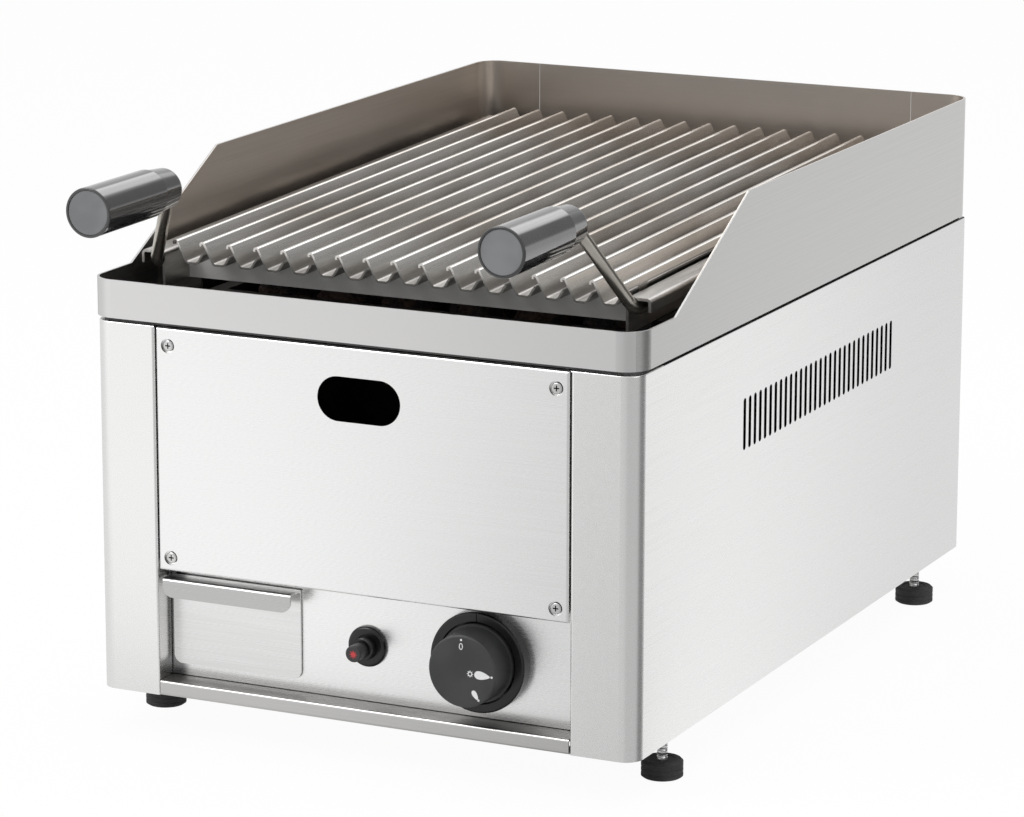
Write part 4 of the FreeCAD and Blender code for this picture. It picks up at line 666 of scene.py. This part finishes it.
footShape = {"padTop": 0.010, "padRadius": 0.0115, "bevel": 0.0012, "washer": (0.62, 0.60, 0.0003),
             "ribs": [(0.0, 0.0), (0.90, 0.0), (1.0, 0.0008), (1.0, 0.0022), (0.975, 0.0026),
                      (0.975, 0.0031), (1.0, 0.0035), (1.0, 0.0050), (0.975, 0.0054), (0.975, 0.0059),
                      (1.0, 0.0063)],
             "studRadius": 0.0030, "threadPitch": 0.0010, "threadDepth": 0.00055, "studSink": 0.002,
             "turnSteps": 28, "coreSides": 36,
             "ends": ["front_left", "front_right", "rear_left", "rear_right"]}


def makeStud(title, centre, bottom, length):
    # threaded stud: the ridge round a plain core
    look = footShape
    grow = Grow(title, Radius=look["studRadius"], Depth=look["threadDepth"], Pitch=look["threadPitch"],
                Length=length)
    length = grow.size("Length")
    core = grow.node("MeshCylinder", {}, {"Vertices": look["coreSides"], "Depth": length,
                                          "Radius": grow.size("Radius") - grow.size("Depth")})
    lift = grow.node("ShaderNodeCombineXYZ", {}, {2: length * 0.5})
    core = grow.node("Transform", {}, {"Geometry": core, "Translation": lift})
    stud = grow.join(threadOn(grow, look["turnSteps"]), core)
    stud = grow.node("Transform", {}, {"Geometry": stud, "Translation": (*centre, bottom)})
    stud = grow.node("SetShadeSmooth", {}, {"Geometry": stud, "Shade Smooth": False})
    return grow.piece(grow.coated(stud, finishes["zinc"]))


def makeFeet():
    # ribbed rubber pad with a washer face on top, and the threaded stud that goes up into the casing
    look = footShape
    radius, top, bevel = look["padRadius"], look["padTop"], look["bevel"]
    outer, inner, dip = look["washer"]
    profile = [(radius * share, height) for share, height in look["ribs"]]
    profile += [(radius, top - bevel), (radius - bevel, top), (radius * outer, top),
                (radius * inner, top - dip), (0.0, top - dip)]
    for end in look["ends"]:
        low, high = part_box("foot_" + end)
        centre = ((low[0] + high[0]) / 2, (low[1] + high[1]) / 2)
        sink = look["studSink"]
        stud = makeStud("footStud_" + end, centre, top - sink, high[2] - top + sink)
        mesh = lathed("footPad_" + end, profile, centre)
        mesh.materials.append(finishes["footRubber"])
        for face in mesh.polygons:
            face.use_smooth = False
        pad = shown("footPad_" + end, mesh)
        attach(stud, "levelling_foot_" + end)
        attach(pad, "levelling_foot_" + end)
        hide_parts("foot_" + end)


inletThread = {"radius": 0.01088, "depth": 0.00045, "pitch": 0.001814, "start": 0.2755, "length": 0.0172,
               "turnSteps": 64}


def makeInletThread():
    look = inletThread
    low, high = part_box("gas_inlet")
    centre = ((low[0] + high[0]) / 2, look["start"], (low[2] + high[2]) / 2)
    grow = Grow("inletThread", Radius=look["radius"], Depth=look["depth"], Pitch=look["pitch"],
                Length=look["length"])
    ridge = grow.node("Transform", {}, {"Geometry": threadOn(grow, look["turnSteps"]),
                                        "Translation": centre, "Rotation": (-math.pi / 2, 0.0, 0.0)})
    thread = grow.piece(grow.coated(ridge, finishes["brass"]))
    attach(thread, "casing")


def makeSprings():
    # each return spring: a copy of its coil rides on its joint's parent body in place of the CAD node; the
    # fixed rear end is read but the coil is not shortened
    for joint in frame["record"]["behaviour"]["joints"]:
        for row in joint.get("deforming_nodes", []):
            node, fixedEnd = row["node"], row["fixed_end_y_m"]
            coil = shown(node + "Coil", nodes[node].data.copy())
            coil.matrix_world = nodes[node].matrix_world.copy()
            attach(coil, joint["parent"])
            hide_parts(node)
            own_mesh(coil)


makeStones()
makeFeet()
makeInletThread()
makeSprings()
print("stones, feet, inlet thread and springs made")


# Printed marks on the knob and the push button: flat outlines in millimetres from the middle.

knobMarks = {"face": "knob", "body": "knob_set", "slot": "knob_grey", "rise": 0.00006, "thick": 0.00012,
             "dots": [(-0.4, 17.6, 0.62), (17.6, -0.9, 0.62), (9.9, -14.6, 0.62)],
             "zero": (-0.5, 14.0, 1.15, 1.85, 0.45), "spark": (4.9, -0.5, 2.05, 1.15, 8),
             "flames": [(12.0, -0.7, 9.2, 4.6, -3.0), (8.0, -12.1, 6.0, 2.9, -57.0)]}
buttonMark = {"face": "igniter_button", "body": "igniter_push_button", "slot": "button_grey",
              "rise": 0.00005, "thick": 0.0001, "spark": (0.3, -0.1, 2.7, 1.15, 8)}
sparkEye = 0.55
flameForm = {"taper": 0.62, "swell": 1.35}


def ring(x, z, halfWide, halfHigh, steps=28):
    turns = [2 * math.pi * i / steps for i in range(steps)]
    return [(x + halfWide * math.cos(turn), z + halfHigh * math.sin(turn)) for turn in turns]


def sparkOutline(x, z, long, short, points):
    outline = []
    for i in range(points * 2):
        reach = long if i % 2 == 0 else short
        turn = math.pi * i / points
        outline.append((x + reach * math.cos(turn), z + reach * math.sin(turn)))
    return outline


def flameOutline(x, z, length, width, angle, steps=24):
    # drop shape: round at one end and drawn to a point at the other
    taper, swell = flameForm["taper"], flameForm["swell"]
    sine, cosine = math.sin(math.radians(angle)), math.cos(math.radians(angle))
    outline = []
    for i in range(steps):
        t = 2 * math.pi * i / steps
        along = -math.cos(t) * length / 2
        aside = math.sin(t) * (1 - taper * (1 - math.cos(t)) / 2) * width / 2 * swell
        outline.append((x + along * cosine - aside * sine, z + along * sine + aside * cosine))
    return outline


def printedMark(title, look, outlines, finish):
    # outlines with an inner one are rings; each becomes a thin plate just proud of the face
    low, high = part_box(look["face"])
    centreX, centreZ, faceY = (low[0] + high[0]) / 2, (low[2] + high[2]) / 2, low[1] - look["rise"]
    form = bmesh.new()
    for outer, inner in outlines:
        loops = []
        for outline in (outer, inner):
            if outline:
                loops.append([[form.verts.new((centreX + px / 1000, faceY + deep, centreZ + pz / 1000))
                               for px, pz in outline] for deep in (0.0, look["thick"])])
        count = len(outer)
        for front, back in loops:
            for i in range(count):
                j = (i + 1) % count
                form.faces.new((front[i], front[j], back[j], back[i]))
        for side in (0, 1):
            rim = loops[0][side]
            if inner:
                hole = loops[1][side]
                for i in range(count):
                    j = (i + 1) % count
                    form.faces.new((rim[i], rim[j], hole[j], hole[i]))
            else:
                form.faces.new(rim)
    bmesh.ops.recalc_face_normals(form, faces=form.faces)
    bmesh.ops.triangulate(form, faces=form.faces)
    mesh = bpy.data.meshes.new(title)
    form.to_mesh(mesh)
    form.free()
    mesh.materials.append(finishes[finish])
    made = shown(title, mesh)
    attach(made, look["body"])


def makeMarks():
    look = knobMarks
    outlines = [(ring(x, z, r, r), None) for x, z, r in look["dots"]]
    x, z, wide, high, line = look["zero"]
    outlines.append((ring(x, z, wide, high), ring(x, z, wide - line, high - line)))
    x, z, long, short, points = look["spark"]
    eye = sparkOutline(x, z, long * sparkEye, short * sparkEye, points)
    outlines.append((sparkOutline(x, z, long, short, points), eye))
    outlines += [(flameOutline(*flame), None) for flame in look["flames"]]
    printedMark("knobMarks", look, outlines, "markWhite")
    printedMark("buttonMark", buttonMark, [(sparkOutline(*buttonMark["spark"]), None)], "markRed")


makeMarks()
print("marks made")


# Floor, backdrop light and lamps. Turns are degrees round from the front, to the right.

studio = {"floorSize": 14.0, "floorColour": (0.93, 0.93, 0.93), "floorGlow": 0.95, "floorMirrored": 0.85,
          "worldFill": 0.55, "corner": (0.16, -0.22), "acrossSlope": 0.477, "acrossX": (-0.10, 0.19),
          "leftTurns": (-85, -50), "leftDrop": 0.25, "frontTurns": (-28, 0), "frontDrop": 0.46,
          "bendTurns": (8, 20), "bendDrop": 0.10, "cardTurns": (90, 104), "cardTone": 0.10,
          "behindTurns": (138, 151)}


def turnRamp(turn, name, *ends):
    return turn.ramp(*(math.radians(degrees) for degrees in studio[name]), *ends)


def mirroredTone(across, turn):
    # tone of the surroundings by turn: it falls off past the right front, is darkest beside the
    # object and white again towards the back
    look = studio
    bend, left = turnRamp(turn, "bendTurns"), turnRamp(turn, "leftTurns", 1.0, 0.0)
    plain = 1.0 - across * look["frontDrop"] - bend * look["bendDrop"] - left * look["leftDrop"]
    dark = turnRamp(turn, "cardTurns") * (1.0 - look["frontDrop"] - look["bendDrop"] - look["cardTone"])
    behind = turnRamp(turn, "behindTurns")
    return (plain - dark) * (1.0 - behind) + behind


def grey(shade, tone):
    return shade.node("CombineColor", {}, {0: tone, 1: tone, 2: tone})


def turnOf(shade, x, y):
    return shade.node("Math", {"operation": "ARCTAN2"}, {0: x, 1: y * -1.0})


def paleFloor():
    # white to the camera, toned to what mirrors it, and plain matt to everything else
    look = studio
    shade = Shade("paleFloor")
    path = shade.node("LightPath").socket.node
    seen, glossy = (Wire(shade, path.outputs[name]) for name in ("Is Camera Ray", "Is Glossy Ray"))
    x, y = shade.axes()[:2]
    cornerX, cornerY = look["corner"]
    across = (x - (y - cornerY) * look["acrossSlope"]).ramp(*look["acrossX"])
    tone = mirroredTone(across, turnOf(shade, x - cornerX, y - cornerY))
    matt = shade.node("BsdfDiffuse", {}, {"Color": (*look["floorColour"], 1.0)})
    white = shade.node("Emission", {}, {"Color": (1.0, 1.0, 1.0, 1.0), "Strength": 1.0})
    toned = shade.node("Emission", {}, {"Color": grey(shade, tone), "Strength": 1.0})
    direct = shade.node("MixShader", {}, {0: seen * look["floorGlow"], 1: matt, 2: white})
    both = shade.node("MixShader", {}, {0: glossy * look["floorMirrored"], 1: direct, 2: toned})
    shade.node("OutputMaterial", {}, {"Surface": both})
    return shade.material


def makeFloor():
    half = studio["floorSize"] / 2
    mesh = bpy.data.meshes.new("floor")
    mesh.from_pydata([(-half, -half, 0), (half, -half, 0), (half, half, 0), (-half, half, 0)], [],
                     [(0, 1, 2, 3)])
    mesh.materials.append(paleFloor())
    shown("floor", mesh)


backdrop = {"lowZ": (0.45, 0.75), "rearTone": 0.40, "rearX": (-0.25, 0.25), "rearY": (0.3, 0.75),
            "rearZ": (0.0, 0.12), "rearTop": (0.42, 0.5), "boxTone": 2.4, "boxLeft": (-0.32, -0.22),
            "boxRight": (0.12, 0.22), "boxY": (0.5, 0.7), "boxZ": (0.38, 0.44), "boxTop": (0.54, 0.6)}


def makeWorld():
    # what metal mirrors: white, dimmer at the right and low at the back, with one bright box behind
    look = backdrop
    world = bpy.data.worlds.new("whiteStudio")
    bpy.context.scene.world = world
    shade = Shade("whiteStudio", world)
    path = shade.node("LightPath").socket.node
    glossy, camera, through = (Wire(shade, path.outputs["Is " + name + " Ray"])
                               for name in ("Glossy", "Camera", "Transmission"))
    x, y, z = shade.axes("Generated")
    turn = turnOf(shade, x, y)
    low = z.fall(*look["lowZ"])
    tone = mirroredTone(turnRamp(turn, "frontTurns"), turn) * low + (1.0 - low)
    rear = x.ramp(*look["rearX"]) * y.ramp(*look["rearY"]) * z.ramp(*look["rearZ"]) * z.fall(*look["rearTop"])
    tone = tone * (1.0 - rear * (1.0 - look["rearTone"]))
    wide = x.ramp(*look["boxLeft"]) * x.fall(*look["boxRight"])
    box = wide * y.ramp(*look["boxY"]) * z.ramp(*look["boxZ"]) * z.fall(*look["boxTop"])
    tone = tone + box * (look["boxTone"] - 1.0)
    white = (1.0, 1.0, 1.0, 1.0)
    fill, mirrored, plain = (shade.node("Background", {}, {"Color": white, "Strength": strength})
                             for strength in (studio["worldFill"], tone, 1.0))
    first = shade.node("MixShader", {}, {0: glossy, 1: fill, 2: mirrored})
    both = shade.node("MixShader", {}, {0: camera.atLeast(through), 1: first, 2: plain})
    shade.node("OutputWorld", {}, {"Surface": both})


def softLamp(title, place, aim, size, power):
    data = bpy.data.lights.new(title, "AREA")
    data.shape = "RECTANGLE"
    data.size, data.size_y = size
    data.energy = power
    lamp = bpy.data.objects.new(title, data)
    lamp.location = place
    lamp.rotation_mode = "QUATERNION"
    lamp.rotation_quaternion = (Vector(aim) - Vector(place)).to_track_quat("-Z", "Y")
    bpy.context.scene.collection.objects.link(lamp)


# each lamp's place, aim, size and power
lamps = {"keyLamp": ((-1.6, -1.9, 2.2), (0.0, 0.0, 0.15), (1.6, 1.6), 34.0),
         "topLamp": ((0.2, 0.3, 2.6), (0.0, 0.0, 0.2), (1.8, 1.8), 22.0),
         "fillLamp": ((2.4, -0.8, 1.2), (0.0, 0.0, 0.15), (1.4, 1.4), 8.0)}

makeFloor()
makeWorld()
for title, lamp in lamps.items():
    softLamp(title, *lamp)
print("studio ready")


# Camera, solved from the photograph.

cameraSolve = {"place": (1.06967, -2.27005, 0.74632), "azimuth": 25.55, "elevation": 13.31, "roll": 0.11,
               "focalPixels": 4448.5, "imageWidth": 1024, "sensor": 36.0, "clip": (0.1, 50.0)}


def makeCamera():
    look = cameraSolve
    data = bpy.data.cameras.new("camera")
    data.sensor_width = look["sensor"]
    data.lens = look["focalPixels"] / look["imageWidth"] * data.sensor_width
    data.clip_start, data.clip_end = look["clip"]
    camera = bpy.data.objects.new("camera", data)
    a, e = math.radians(look["azimuth"]), math.radians(look["elevation"])
    back = Vector((math.sin(a) * math.cos(e), -math.cos(a) * math.cos(e), math.sin(e)))
    turn = (-back).to_track_quat("-Z", "Y").to_matrix() @ Matrix.Rotation(math.radians(look["roll"]), 3, "Z")
    camera.matrix_world = Matrix.LocRotScale(Vector(look["place"]), turn.to_quaternion(), None)
    bpy.context.scene.collection.objects.link(camera)
    bpy.context.scene.camera = camera


makeCamera()
bpy.context.scene.view_settings.view_transform = "Standard"
print("camera set")
